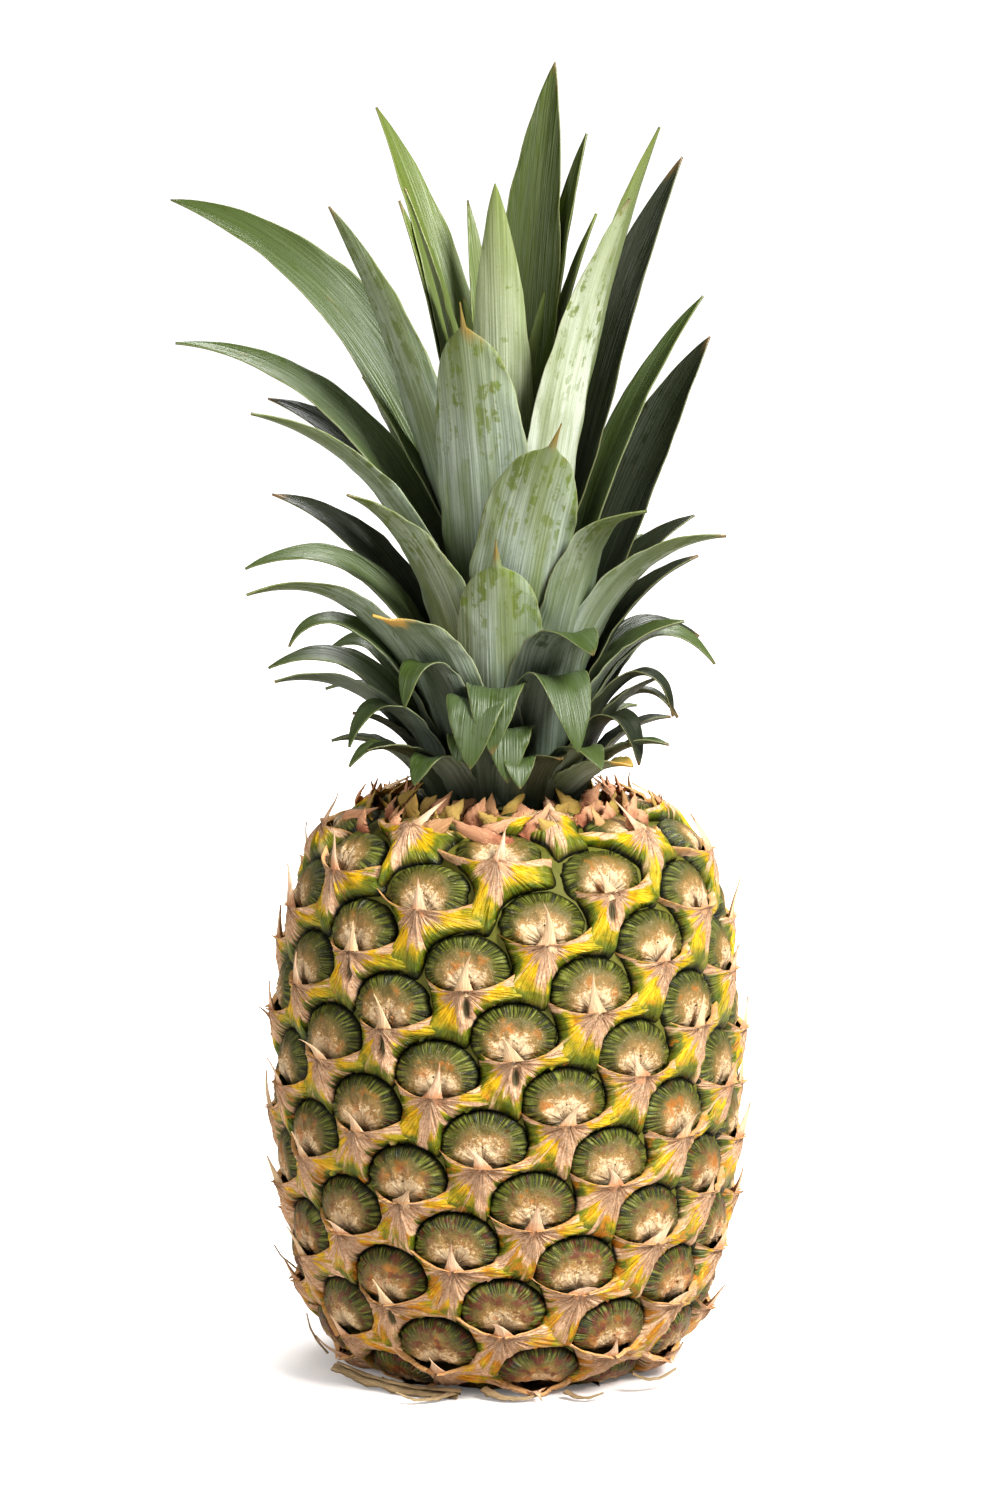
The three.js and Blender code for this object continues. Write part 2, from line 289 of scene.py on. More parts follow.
@dataclass
class Graph:
    """Wires shader nodes with short calls; a value is a flow, a socket or a constant."""

    tree: bpy.types.NodeTree

    def feed(self, socket: Socket, value: object) -> None:
        """Link a socket to a value that varies, or set its own constant.

        Args:
            socket: the input.
            value: what it takes; None leaves it as it is.
        """
        source = value.socket if isinstance(value, Flow) else value
        if isinstance(source, Socket):
            self.tree.links.new(source, socket)
        elif source is not None:
            socket.default_value = source

    def node(self, kind: str, *values: object, **settings: object) -> bpy.types.Node:
        """Add a node.

        Args:
            kind: the node's type.
            values: what its first inputs take, in their order.
            settings: the node's own properties.

        Returns:
            The node.
        """
        made = self.tree.nodes.new(kind)
        for name, value in settings.items():
            setattr(made, name, value)
        for socket, value in zip(made.inputs, values):
            self.feed(socket, value)
        return made

    def math(self, operation: str, first: object, second: object = None, clamp: bool = False) -> "Flow":
        """Combine two numbers."""
        made = self.node("ShaderNodeMath", first, second, operation=operation, use_clamp=clamp)
        return Flow(self, made.outputs[0])

    def mix(self, share: object, first: object, second: object) -> "Flow":
        """Mix two colours.

        Args:
            share: how much of the second colour shows, 0 to 1.
            first: the first colour.
            second: the second colour.

        Returns:
            The mixed colour.
        """
        made = self.node("ShaderNodeMix", share, data_type="RGBA")
        self.feed(made.inputs[6], first)
        self.feed(made.inputs[7], second)
        return Flow(self, made.outputs[2])

    def layers(self, ground: object, *coats: tuple[object, object]) -> "Flow":
        """Lay colours over a ground, one after the other.

        Args:
            ground: the first colour.
            coats: the share and the colour of each coat.

        Returns:
            The finished colour.
        """
        colour = ground
        for share, coat in coats:
            colour = self.mix(share, colour, coat)
        return colour

    def join(self, x: object, y: object, z: object) -> "Flow":
        """Make a vector."""
        return Flow(self, self.node("ShaderNodeCombineXYZ", x, y, z).outputs[0])

    def mark(self, name: str) -> "Flow":
        """Read the marks that a mesh carries."""
        return Flow(self, self.node("ShaderNodeAttribute", attribute_name=name).outputs["Vector"])

    def own_place(self) -> "Flow":
        """Read the object's own coordinates, in metres."""
        return Flow(self, self.node("ShaderNodeTexCoord").outputs["Object"])

    def use(self, group: bpy.types.NodeTree, **inputs: object) -> dict[str, "Flow"]:
        """Place a shared group with its own values.

        Args:
            group: the group.
            inputs: its values by input name.

        Returns:
            Its outputs by name.
        """
        made = self.node("ShaderNodeGroup", node_tree=group)
        for name, value in inputs.items():
            self.feed(made.inputs[name], value)
        return {socket.name: Flow(self, socket) for socket in made.outputs}


@dataclass(frozen=True)
class Flow:
    """A number, colour or vector that varies over a surface; arithmetic on it adds nodes to its graph."""

    graph: Graph
    socket: Socket

    def __add__(self, other: object) -> "Flow":
        """Add a value."""
        return self.graph.math("ADD", self, other)

    def __sub__(self, other: object) -> "Flow":
        """Take a value away."""
        return self.graph.math("SUBTRACT", self, other)

    def __mul__(self, other: object) -> "Flow":
        """Multiply by a value."""
        return self.graph.math("MULTIPLY", self, other)

    def __truediv__(self, other: object) -> "Flow":
        """Divide by a value."""
        return self.graph.math("DIVIDE", self, other)

    def absolute(self) -> "Flow":
        """Drop the sign."""
        return self.graph.math("ABSOLUTE", self)

    def ease(self, low: float, high: float, start: float = 0.0, end: float = 1.0) -> "Flow":
        """Map a range smoothly to another.

        Args:
            low: the value that gives the start.
            high: the value that gives the end; it may be less than the low one.
            start: the result at the low value and beyond it.
            end: the result at the high value and beyond it.

        Returns:
            The eased value.
        """
        ends = (low, high, start, end)
        made = self.graph.node("ShaderNodeMapRange", self, *ends, interpolation_type="SMOOTHSTEP")
        return Flow(self.graph, made.outputs[0])

    def between(self, first: object, second: object) -> "Flow":
        """Go from a first colour at 0 to a second one at 1."""
        return self.graph.mix(self, first, second)

    def split(self) -> list["Flow"]:
        """Take a vector apart into its three numbers."""
        return [Flow(self.graph, part) for part in self.graph.node("ShaderNodeSeparateXYZ", self).outputs]

    def shrunk(self, size: "Flow") -> "Flow":
        """Divide a vector by one number.

        Args:
            size: the number.

        Returns:
            The smaller vector.
        """
        sizes = self.graph.join(size, size, size)
        made = self.graph.node("ShaderNodeVectorMath", self, sizes, operation="DIVIDE")
        return Flow(self.graph, made.outputs[0])

    def noise(self, scale: float, detail: float, roughness: float) -> "Flow":
        """Sample soft noise at a vector.

        Args:
            scale: how many waves there are to a unit.
            detail: how many finer waves are added.
            roughness: how strong the finer waves are.

        Returns:
            The noise, about 0 to 1.
        """
        made = self.graph.node("ShaderNodeTexNoise", self)
        made.inputs["Scale"].default_value = scale
        made.inputs["Detail"].default_value = detail
        made.inputs["Roughness"].default_value = roughness
        return Flow(self.graph, made.outputs["Fac"])


def start_group(name: str, settings: Names, results: Names) -> tuple[Graph, list[Flow], list[Socket]]:
    """Start a shader node group that reads a vector and a few numbers.

    Args:
        name: the group's name.
        settings: the names of its number inputs.
        results: the names of its outputs.

    Returns:
        The graph to fill, the inputs with the vector first, and the sockets that take the outputs.
    """
    tree = bpy.data.node_groups.new(name, "ShaderNodeTree")
    tree.interface.new_socket(name="Vector", in_out="INPUT", socket_type="NodeSocketVector")
    for label in settings:
        tree.interface.new_socket(name=label, in_out="INPUT", socket_type="NodeSocketFloat")
    for label in results:
        tree.interface.new_socket(name=label, in_out="OUTPUT", socket_type="NodeSocketFloat")
    graph = Graph(tree)
    arriving = graph.node("NodeGroupInput").outputs
    leaving = graph.node("NodeGroupOutput").inputs
    given = [Flow(graph, arriving[label]) for label in ("Vector", *settings)]
    return graph, given, [leaving[label] for label in results]


@dataclass
class Effects:
    """The shader groups that several finishes share."""

    fibres: bpy.types.NodeTree = field(init=False)
    patches: bpy.types.NodeTree = field(init=False)
    specks: bpy.types.NodeTree = field(init=False)
    rays: bpy.types.NodeTree = field(init=False)

    def __post_init__(self) -> None:
        """Build each group once."""
        self.fibres = self.build_fibres()
        self.patches = self.build_patches()
        self.specks = self.build_specks()
        self.rays = self.build_rays()

    def build_fibres(self) -> bpy.types.NodeTree:
        """Build fine fibres that run along the vector's Y.

        Returns:
            The group.
        """
        names = ("Width", "Length"), ("Fibre",)
        graph, (vector, width, length), (fibre,) = start_group("plant_fibres", *names)
        x, y, z = vector.split()
        graph.feed(fibre, graph.join(x / width, y / length, z).noise(1.0, 2.0, 0.6).ease(0.32, 0.68))
        return graph.tree

    def build_patches(self) -> bpy.types.NodeTree:
        """Build irregular patches; Cover sets how much of the surface they take.

        Returns:
            The group.
        """
        names = ("Size", "Cover"), ("Mask",)
        graph, (vector, size, cover), (mask,) = start_group("plant_patches", *names)
        raised = vector.shrunk(size).noise(1.0, 4.0, 0.62) + cover * 0.4
        graph.feed(mask, raised.ease(0.62, 0.74))
        return graph.tree

    def build_specks(self) -> bpy.types.NodeTree:
        """Build small round specks, thinly scattered.

        Returns:
            The group.
        """
        names = ("Pitch", "Radius"), ("Mask",)
        graph, (vector, pitch, radius), (mask,) = start_group("plant_specks", *names)
        cells = graph.node("ShaderNodeTexVoronoi", vector.shrunk(pitch), feature="F1")
        graph.feed(mask, (radius - cells.outputs["Distance"]).ease(0.0, 0.12))
        return graph.tree

    def build_rays(self) -> bpy.types.NodeTree:
        """Build streaks that spread from the origin of X and Y; Turns sets how many fit round it.

        Returns:
            The group.
        """
        names = ("Turns", "Drift"), ("Ray", "Distance")
        graph, (vector, turns, drift), (ray, distance) = start_group("plant_rays", *names)
        x, y, z = vector.split()
        angle = graph.math("ARCTAN2", y, x)
        reach = graph.math("SQRT", x * x + y * y)
        round_x = graph.math("COSINE", angle) * turns
        round_y = graph.math("SINE", angle) * turns
        streak = graph.join(round_x, round_y, reach * drift + z).noise(1.0, 2.0, 0.55)
        graph.feed(ray, streak.ease(0.34, 0.66))
        graph.feed(distance, reach)
        return graph.tree


def start_finish(name: str) -> tuple[Material, Graph, bpy.types.Node]:
    """Start a material.

    Args:
        name: the material's name.

    Returns:
        The material, its graph and its surface shader.
    """
    material = bpy.data.materials.new(name)
    material.use_nodes = True
    material.node_tree.nodes.clear()
    graph = Graph(material.node_tree)
    surface = graph.node("ShaderNodeBsdfPrincipled")
    graph.node("ShaderNodeOutputMaterial", surface.outputs[0])
    return material, graph, surface


# ---- Finishes ----------------------------------------------------------------------------------------------


@dataclass(frozen=True)
class Coat:
    """What a finish gives its shader; the relief's depth is in metres."""

    colour: Flow
    roughness: object
    relief: Flow
    strength: float
    depth: float


@dataclass(frozen=True)
class Finish:
    """A surface of the plant; each kind of finish says how its colour, roughness and relief vary."""

    name: str

    def paint(self, graph: Graph, effects: Effects) -> Coat:
        """Wire the colour, roughness and relief.

        Args:
            graph: the material's graph.
            effects: the shared shader groups.

        Returns:
            What the shader takes.
        """
        raise NotImplementedError

    def make(self, effects: Effects) -> Material:
        """Build the material.

        Args:
            effects: the shared shader groups.

        Returns:
            The material.
        """
        material, graph, surface = start_finish(self.name)
        coat = self.paint(graph, effects)
        graph.feed(surface.inputs["Base Color"], coat.colour)
        graph.feed(surface.inputs["Roughness"], coat.roughness)
        relief = graph.node("ShaderNodeBump")
        relief.inputs["Strength"].default_value = coat.strength
        relief.inputs["Distance"].default_value = coat.depth
        graph.feed(relief.inputs["Height"], coat.relief)
        graph.feed(surface.inputs["Normal"], relief.outputs[0])
        return material


@dataclass(frozen=True)
class EyeFinish(Finish):
    """The speckled domed skin of an eye, with a crimped dark green rim, darkened at its very edge with
    painted shade, and patches of painted sheen.
    """

    name: str = "eye_skin"
    cream: Colour = linear(250, 226, 184)
    tan: Colour = linear(190, 140, 70)
    bark: Colour = linear(104, 92, 40)
    olive: Colour = linear(84, 88, 26)
    rim_light: Colour = linear(122, 128, 48)
    rim_dark: Colour = linear(28, 36, 6)
    # near-black: the rim's own dark green, deepened with painted shade in the hollow between eyes
    groove_shade: Colour = linear(22, 26, 3)
    amber: Colour = linear(196, 116, 26)
    plum: Colour = linear(112, 42, 34)
    speck: Colour = linear(244, 234, 208)
    crease: Colour = linear(122, 82, 48)
    spike_drop: float = 6.0

    def paint(self, graph: Graph, effects: Effects) -> Coat:
        """Wire the finish from the marks "eye" (x, y, number) and "eye_kind" (rim, lowness, chance).

        Args:
            graph: the material's graph.
            effects: the shared shader groups.

        Returns:
            What the shader takes.
        """
        place = graph.mark("eye")
        x, y, number = place.split()
        rim, lowness, chance = graph.mark("eye_kind").split()
        from_spike = graph.join(x, y + self.spike_drop, number)
        rays = graph.use(effects.rays, Vector=from_spike, Turns=4.2, Drift=0.05)
        crimps = graph.use(effects.rays, Vector=place, Turns=13.0, Drift=0.08)["Ray"]
        specks = graph.use(effects.specks, Vector=place, Pitch=0.8, Radius=0.34)["Mask"]
        distance = rays["Distance"]
        sway = place.noise(0.22, 4.0, 0.6) - 0.5
        fine = place.noise(1.7, 3.0, 0.7)
        reach = distance + sway * 8.0
        powder = (place.noise(1.2, 5.0, 0.8) + reach.ease(2.0, 11.5, 0.27, -0.14)).ease(0.52, 0.7)
        # painted sheen: silvery cream patches that stand in for a sheen on the disc
        painted_sheen = place.noise(1.3, 4.0, 0.8).ease(0.56, 0.72, 0.0, 0.4)
        speckled = specks * reach.ease(11.0, 5.0)
        creases = rays["Ray"] * distance.ease(9.0, 1.0)
        ripeness = (chance + lowness).ease(0.3, 1.5, -0.25, 0.36)
        ripe = graph.use(effects.patches, Vector=place, Size=5.0, Cover=ripeness)["Mask"]
        bruises = graph.use(effects.patches, Vector=place, Size=2.4, Cover=lowness * 0.4)["Mask"]
        bruised = bruises * lowness.ease(0.2, 0.9, 0.15, 0.75) * reach.ease(4.0, 9.0)
        wide = rim + sway * 0.35
        rim_band = wide.ease(0.56, 0.8)
        colour = graph.layers(
            self.tan,
            (reach.ease(4.0, 11.0), self.bark),
            (powder * 0.9, self.cream),
            (speckled * 0.6, self.speck),
            (creases * 0.5, self.crease),
            (ripe * 0.6, self.amber),
            (wide.ease(0.4, 0.72, 0.0, 0.8), fine.between(self.olive, self.bark)),
            (rim_band, crimps.between(self.rim_dark, self.rim_light)),
            # painted sheen laid over the disc
            (painted_sheen, self.cream),
            (bruised, self.plum),
            # painted shade: the disc's outer edge darkened to near-black, over its own dark green
            (rim.ease(0.86, 0.97), self.groove_shade),
        )
        relief = crimps * (rim_band * 0.9) - creases * 0.7 + fine * 0.35 + speckled * 0.2
        return Coat(colour, fine.ease(0.2, 0.8, 0.28, 0.5), relief, strength=1.0, depth=0.001)


@dataclass(frozen=True)
class BractFinish(Finish):
    """A bract: yellow to lime flesh, green where it dives in between the eyes, painted shade at the deepest
    dive, dry fibres at its heart.
    """

    name: str = "bract_flesh"
    yellow: Colour = linear(250, 196, 22)
    amber: Colour = linear(220, 132, 34)
    lime: Colour = linear(166, 156, 16)
    verdant: Colour = linear(94, 108, 16)
    green: Colour = linear(44, 52, 6)
    # near-black: painted shade where the bract dives deepest between the eyes
    groove_shade: Colour = linear(16, 18, 3)
    peach: Colour = linear(252, 216, 180)
    straw: Colour = linear(226, 174, 128)
    brown: Colour = linear(104, 60, 34)
    slit: Colour = linear(112, 104, 72)
    margin: Colour = linear(214, 160, 92)

    def paint(self, graph: Graph, effects: Effects) -> Coat:
        """Wire the finish from "flap" (x, y, number), "flap_kind" (along, across, lowness) and "flap_slit".

        Args:
            graph: the material's graph.
            effects: the shared shader groups.

        Returns:
            What the shader takes.
        """
        place = graph.mark("flap")
        along, across, lowness = graph.mark("flap_kind").split()
        slit, dryness, groove_shade = graph.mark("flap_slit").split()
        rays = graph.use(effects.rays, Vector=place, Turns=5.5, Drift=0.06)["Ray"]
        hairs = graph.use(effects.rays, Vector=place, Turns=17.0, Drift=0.16)["Ray"]
        ripeness = lowness.ease(0.0, 1.0, 0.05, 0.5)
        ripe = graph.use(effects.patches, Vector=place, Size=4.0, Cover=ripeness)["Mask"]
        fine = place.noise(1.4, 3.0, 0.7)
        stains = place.noise(1.1, 5.0, 0.75).ease(0.53, 0.68, 0.0, 0.4)
        sway = (place.noise(0.2, 4.0, 0.6) - 0.5) * 0.9
        outer = along + sway
        sunk = groove_shade + sway * 0.5
        ragged = dryness + (rays - 0.5) * 0.5
        flesh = graph.layers(
            self.yellow,
            (outer.ease(0.35, 0.85), self.lime),
            (outer.ease(0.8, 1.15), self.green),
            (sunk.ease(0.0, 0.2), self.verdant),
            (sunk.ease(0.25, 0.6), self.green),
            (ripe * 0.7, self.amber),
            (rays * 0.35, self.lime),
        )
        paper = graph.layers(
            self.peach,
            (fine.ease(0.3, 0.7), self.straw),
            (hairs * 0.32, self.brown),
            (stains, self.brown),
        )
        colour = graph.layers(
            flesh,
            (ragged.ease(0.36, 0.62), paper),
            (slit.ease(0.4, 0.9), self.slit),
            # painted shade: near-black where the bract dives deepest
            (groove_shade.ease(0.5, 0.85), self.groove_shade),
            (across.absolute().ease(0.955, 0.995) * 0.7, self.margin),
        )
        relief = hairs * 0.5 + fine * 0.4 + rays * 0.7
        return Coat(colour, ragged.ease(0.3, 0.7, 0.32, 0.72), relief, strength=1.0, depth=0.001)


@dataclass(frozen=True)
class PaperFinish(Finish):
    """Thin dry tissue: the spikes of the bracts, the neck's small bracts, scraps and straw."""

    foot: Colour
    middle: Colour
    tip: Colour
    streak: Colour
    odd: Colour
    roughness: float = 0.75

    def paint(self, graph: Graph, effects: Effects) -> Coat:
        """Wire the finish from the marks "strip" (x, y, number) and "strip_kind" (along, across, chance).

        Args:
            graph: the material's graph.
            effects: the shared shader groups.

        Returns:
            What the shader takes.
        """
        place = graph.mark("strip")
        along, _, chance = graph.mark("strip_kind").split()
        fibre = graph.use(effects.fibres, Vector=place, Width=0.22, Length=5.0)["Fibre"]
        soft = place.noise(0.35, 3.0, 0.6)
        shift = along + (soft - 0.5) * 0.7
        colour = graph.layers(
            self.foot,
            (shift.ease(0.05, 0.45), self.middle),
            (shift.ease(0.72, 1.05), self.tip),
            (chance.ease(0.55, 0.85, 0.0, 0.8), self.odd),
            (fibre * 0.42, self.streak),
        )
        return Coat(colour, self.roughness, fibre + soft * 0.8, strength=0.55, depth=0.0004)


@dataclass(frozen=True)
class LeafFinish(Finish):
    """One kind of crown leaf: green under a waxy grey bloom, with fine veins, a pale margin partly lit as a
    painted highlight, a dry tip and painted shade at its foot.
    """

    outer: Colour
    inner: Colour
    bloom: float
    inner_bloom: float
    tip: Colour = linear(120, 92, 52)
    tip_from: float = 0.96
    rubbed: float = 0.1
    frost: Colour = linear(178, 188, 176)
    thin_frost: Colour = linear(134, 146, 133)
    shade: Colour = linear(20, 30, 10)
    # painted shade: dark green laid over the leaf's foot, where the leaves crowd and overlap
    foot: Colour = linear(38, 52, 36)
    # pale margin, partly a painted highlight along the thin edge
    edge: Colour = linear(196, 196, 132)

    def paint(self, graph: Graph, effects: Effects) -> Coat:
        """Wire the finish from the marks "blade" (x, y, number) and "blade_kind" (across, along, side).

        Args:
            graph: the material's graph.
            effects: the shared shader groups.

        Returns:
            What the shader takes.
        """
        place = graph.mark("blade")
        x, y, number = place.split()
        across, along, side = graph.mark("blade_kind").split()
        stretched = graph.join(x, y * 0.14, number)
        scraped = graph.join(x, y * 0.7, number)
        veins = graph.use(effects.fibres, Vector=place, Width=0.5, Length=46.0)["Fibre"]
        broad = graph.use(effects.fibres, Vector=place, Width=1.7, Length=60.0)["Fibre"]
        rubs = graph.use(effects.patches, Vector=scraped, Size=3.2, Cover=self.rubbed)["Mask"]
        scars = graph.use(effects.patches, Vector=stretched, Size=3.0, Cover=-0.1)["Mask"]
        soft = stretched.noise(0.16, 3.0, 0.55)
        grain = place.noise(1.1, 3.0, 0.7)
        inside = side.ease(-0.25, 0.25)
        green = inside.between(self.outer, self.inner)
        darker = graph.mix(0.5, green, self.shade)
        scratch = rubs * broad.ease(0.2, 0.6) * along.ease(0.35, 0.8, 0.0, 0.75)
        wax = inside.between(grey(self.bloom), grey(self.inner_bloom)) * soft.ease(0.32, 0.62, 0.35, 1.05)
        wax = wax * scratch.ease(0.0, 0.7, 1.0, 0.1) * along.ease(0.5, 1.0, 1.0, 0.3)
        wax = graph.math("MULTIPLY", wax, grain.ease(0.3, 0.7, 0.86, 1.0), clamp=True)
        withered = along + (soft - 0.5) * 0.22
        colour = graph.layers(
            green,
            (veins * 0.35, darker),
            (broad * 0.3, darker),
            (wax, veins.between(self.frost, self.thin_frost)),
            (scars * 0.4, self.tip),
            # painted shade: darker towards the foot of the leaf
            (along.ease(0.45, 0.05) * 0.66, self.foot),
            # pale margin, partly a painted highlight along the edge
            (across.absolute().ease(0.94, 0.99) * 0.22, self.edge),
            (withered.ease(self.tip_from, self.tip_from + 0.07) * 0.85, self.tip),
        )
        return Coat(colour, wax.ease(0.0, 0.8, 0.4, 0.58), veins + broad * 0.8, strength=0.4, depth=0.00035)


@dataclass(frozen=True)
class PlainFinish(Finish):
    """A matt surface mottled between two colours; its grain and depth are in metres."""

    light: Colour
    dark: Colour
    grain: float
    roughness: float
    depth: float = 0.0003

    def paint(self, graph: Graph, effects: Effects) -> Coat:
        """Wire the finish from the object's own coordinates.

        Args:
            graph: the material's graph.
            effects: the shared shader groups.

        Returns:
            What the shader takes.
        """
        place = graph.own_place()
        mottle = graph.use(effects.patches, Vector=place, Size=self.grain, Cover=0.2)["Mask"]
        grain = place.noise(1.4 / self.grain, 5.0, 0.65)
        colour = (mottle * 0.4 + grain * 0.6).between(self.light, self.dark)
        return Coat(colour, self.roughness, grain, strength=0.5, depth=self.depth)


@dataclass(frozen=True)
class FloorFinish:
    """A pale matt floor that glows towards its edges, for the camera only; near and far are in metres."""

    pale: Colour = linear(214, 208, 204)
    worn: Colour = linear(210, 205, 201)
    roughness: float = 0.9
    near: float = 0.02
    far: float = 0.112

    def make(self, effects: Effects) -> Material:
        """Build the material from the floor's own coordinates.

        Args:
            effects: the shared shader groups.

        Returns:
            The material.
        """
        material, graph, surface = start_finish("floor_paint")
        place = graph.own_place()
        distance = Flow(graph, graph.node("ShaderNodeVectorMath", place, operation="LENGTH").outputs["Value"])
        seen = graph.node("ShaderNodeLightPath").outputs["Is Camera Ray"]
        mottle = graph.use(effects.patches, Vector=place, Size=0.4, Cover=0.1)["Mask"]
        graph.feed(surface.inputs["Base Color"], mottle.between(self.pale, self.worn))
        surface.inputs["Roughness"].default_value = self.roughness
        surface.inputs["Emission Color"].default_value = WHITE
        graph.feed(surface.inputs["Emission Strength"], distance.ease(self.near, self.far) * seen)
        return material


# ---- The fruit ---------------------------------------------------------------------------------------------


@dataclass
class Body:
    """The smooth shape of the fruit, as a profile of radius and height turned about its axis."""

    profile: tuple[tuple[float, float], ...] = (
        (6, 0), (20, 0), (32, 0), (43, 4), (49.5, 10), (54, 18), (58, 32), (60.7, 47), (62.2, 61), (62.8, 75),
        (62.7, 89), (62, 103), (60.5, 117), (57.8, 132), (52.5, 145), (46, 151), (38, 154.6), (30, 156.4),
        (21, 157), (15, 157.2),
    )
    samples: int = 1200
    smoothing: int = 41

    def __post_init__(self) -> None:
        """Sample the profile finely, smooth it and find which way it faces."""
        radii, heights = np.array(self.profile, dtype=float).T
        chord = running_sum(np.hypot(np.diff(radii), np.diff(heights)))
        steps = np.linspace(0, chord[-1], self.samples)
        self.radius = self.smoothed(np.interp(steps, chord, radii))
        self.height = np.maximum(self.smoothed(np.interp(steps, chord, heights)), 0.0)
        self.arc = running_sum(np.hypot(np.diff(self.radius), np.diff(self.height)))
        slope_r = np.gradient(self.radius, self.arc)
        slope_z = np.gradient(self.height, self.arc)
        size = np.hypot(slope_r, slope_z)
        self.normal_r = slope_z / size
        self.normal_z = -slope_r / size

    def smoothed(self, values: Array) -> Array:
        """Soften a row of numbers without moving its ends.

        Args:
            values: the numbers.

        Returns:
            As many softened numbers.
        """
        kernel = np.hanning(self.smoothing)
        padded = np.pad(values, self.smoothing // 2, mode="reflect", reflect_type="odd")
        return np.convolve(padded, kernel / kernel.sum(), mode="valid")

    def at(self, table: Array, arc: Array) -> Array:
        """Read one of the profile's tables at a distance along it."""
        return np.interp(arc, self.arc, table)

    def place(self, azimuth: Array, arc: Array, lift: Array) -> Array:
        """Find points on or off the surface.

        Args:
            azimuth: radians round the fruit.
            arc: millimetres along the profile from its start.
            lift: millimetres out from the surface.

        Returns:
            The points, one row each.
        """
        radius = self.at(self.radius, arc) + lift * self.at(self.normal_r, arc)
        height = self.at(self.height, arc) + lift * self.at(self.normal_z, arc)
        height = np.maximum(height, FLOOR_CLEARANCE)
        return np.stack([radius * np.sin(azimuth), -radius * np.cos(azimuth), height], axis=-1).reshape(-1, 3)


@dataclass
class Eye:
    """One fruitlet's place on the fruit, and its neighbours' places relative to it."""

    number: int
    azimuth: float
    arc: float
    radius: float
    height: float
    lowness: float
    chance: float
    neighbours: list[tuple[float, float]] = field(default_factory=list)


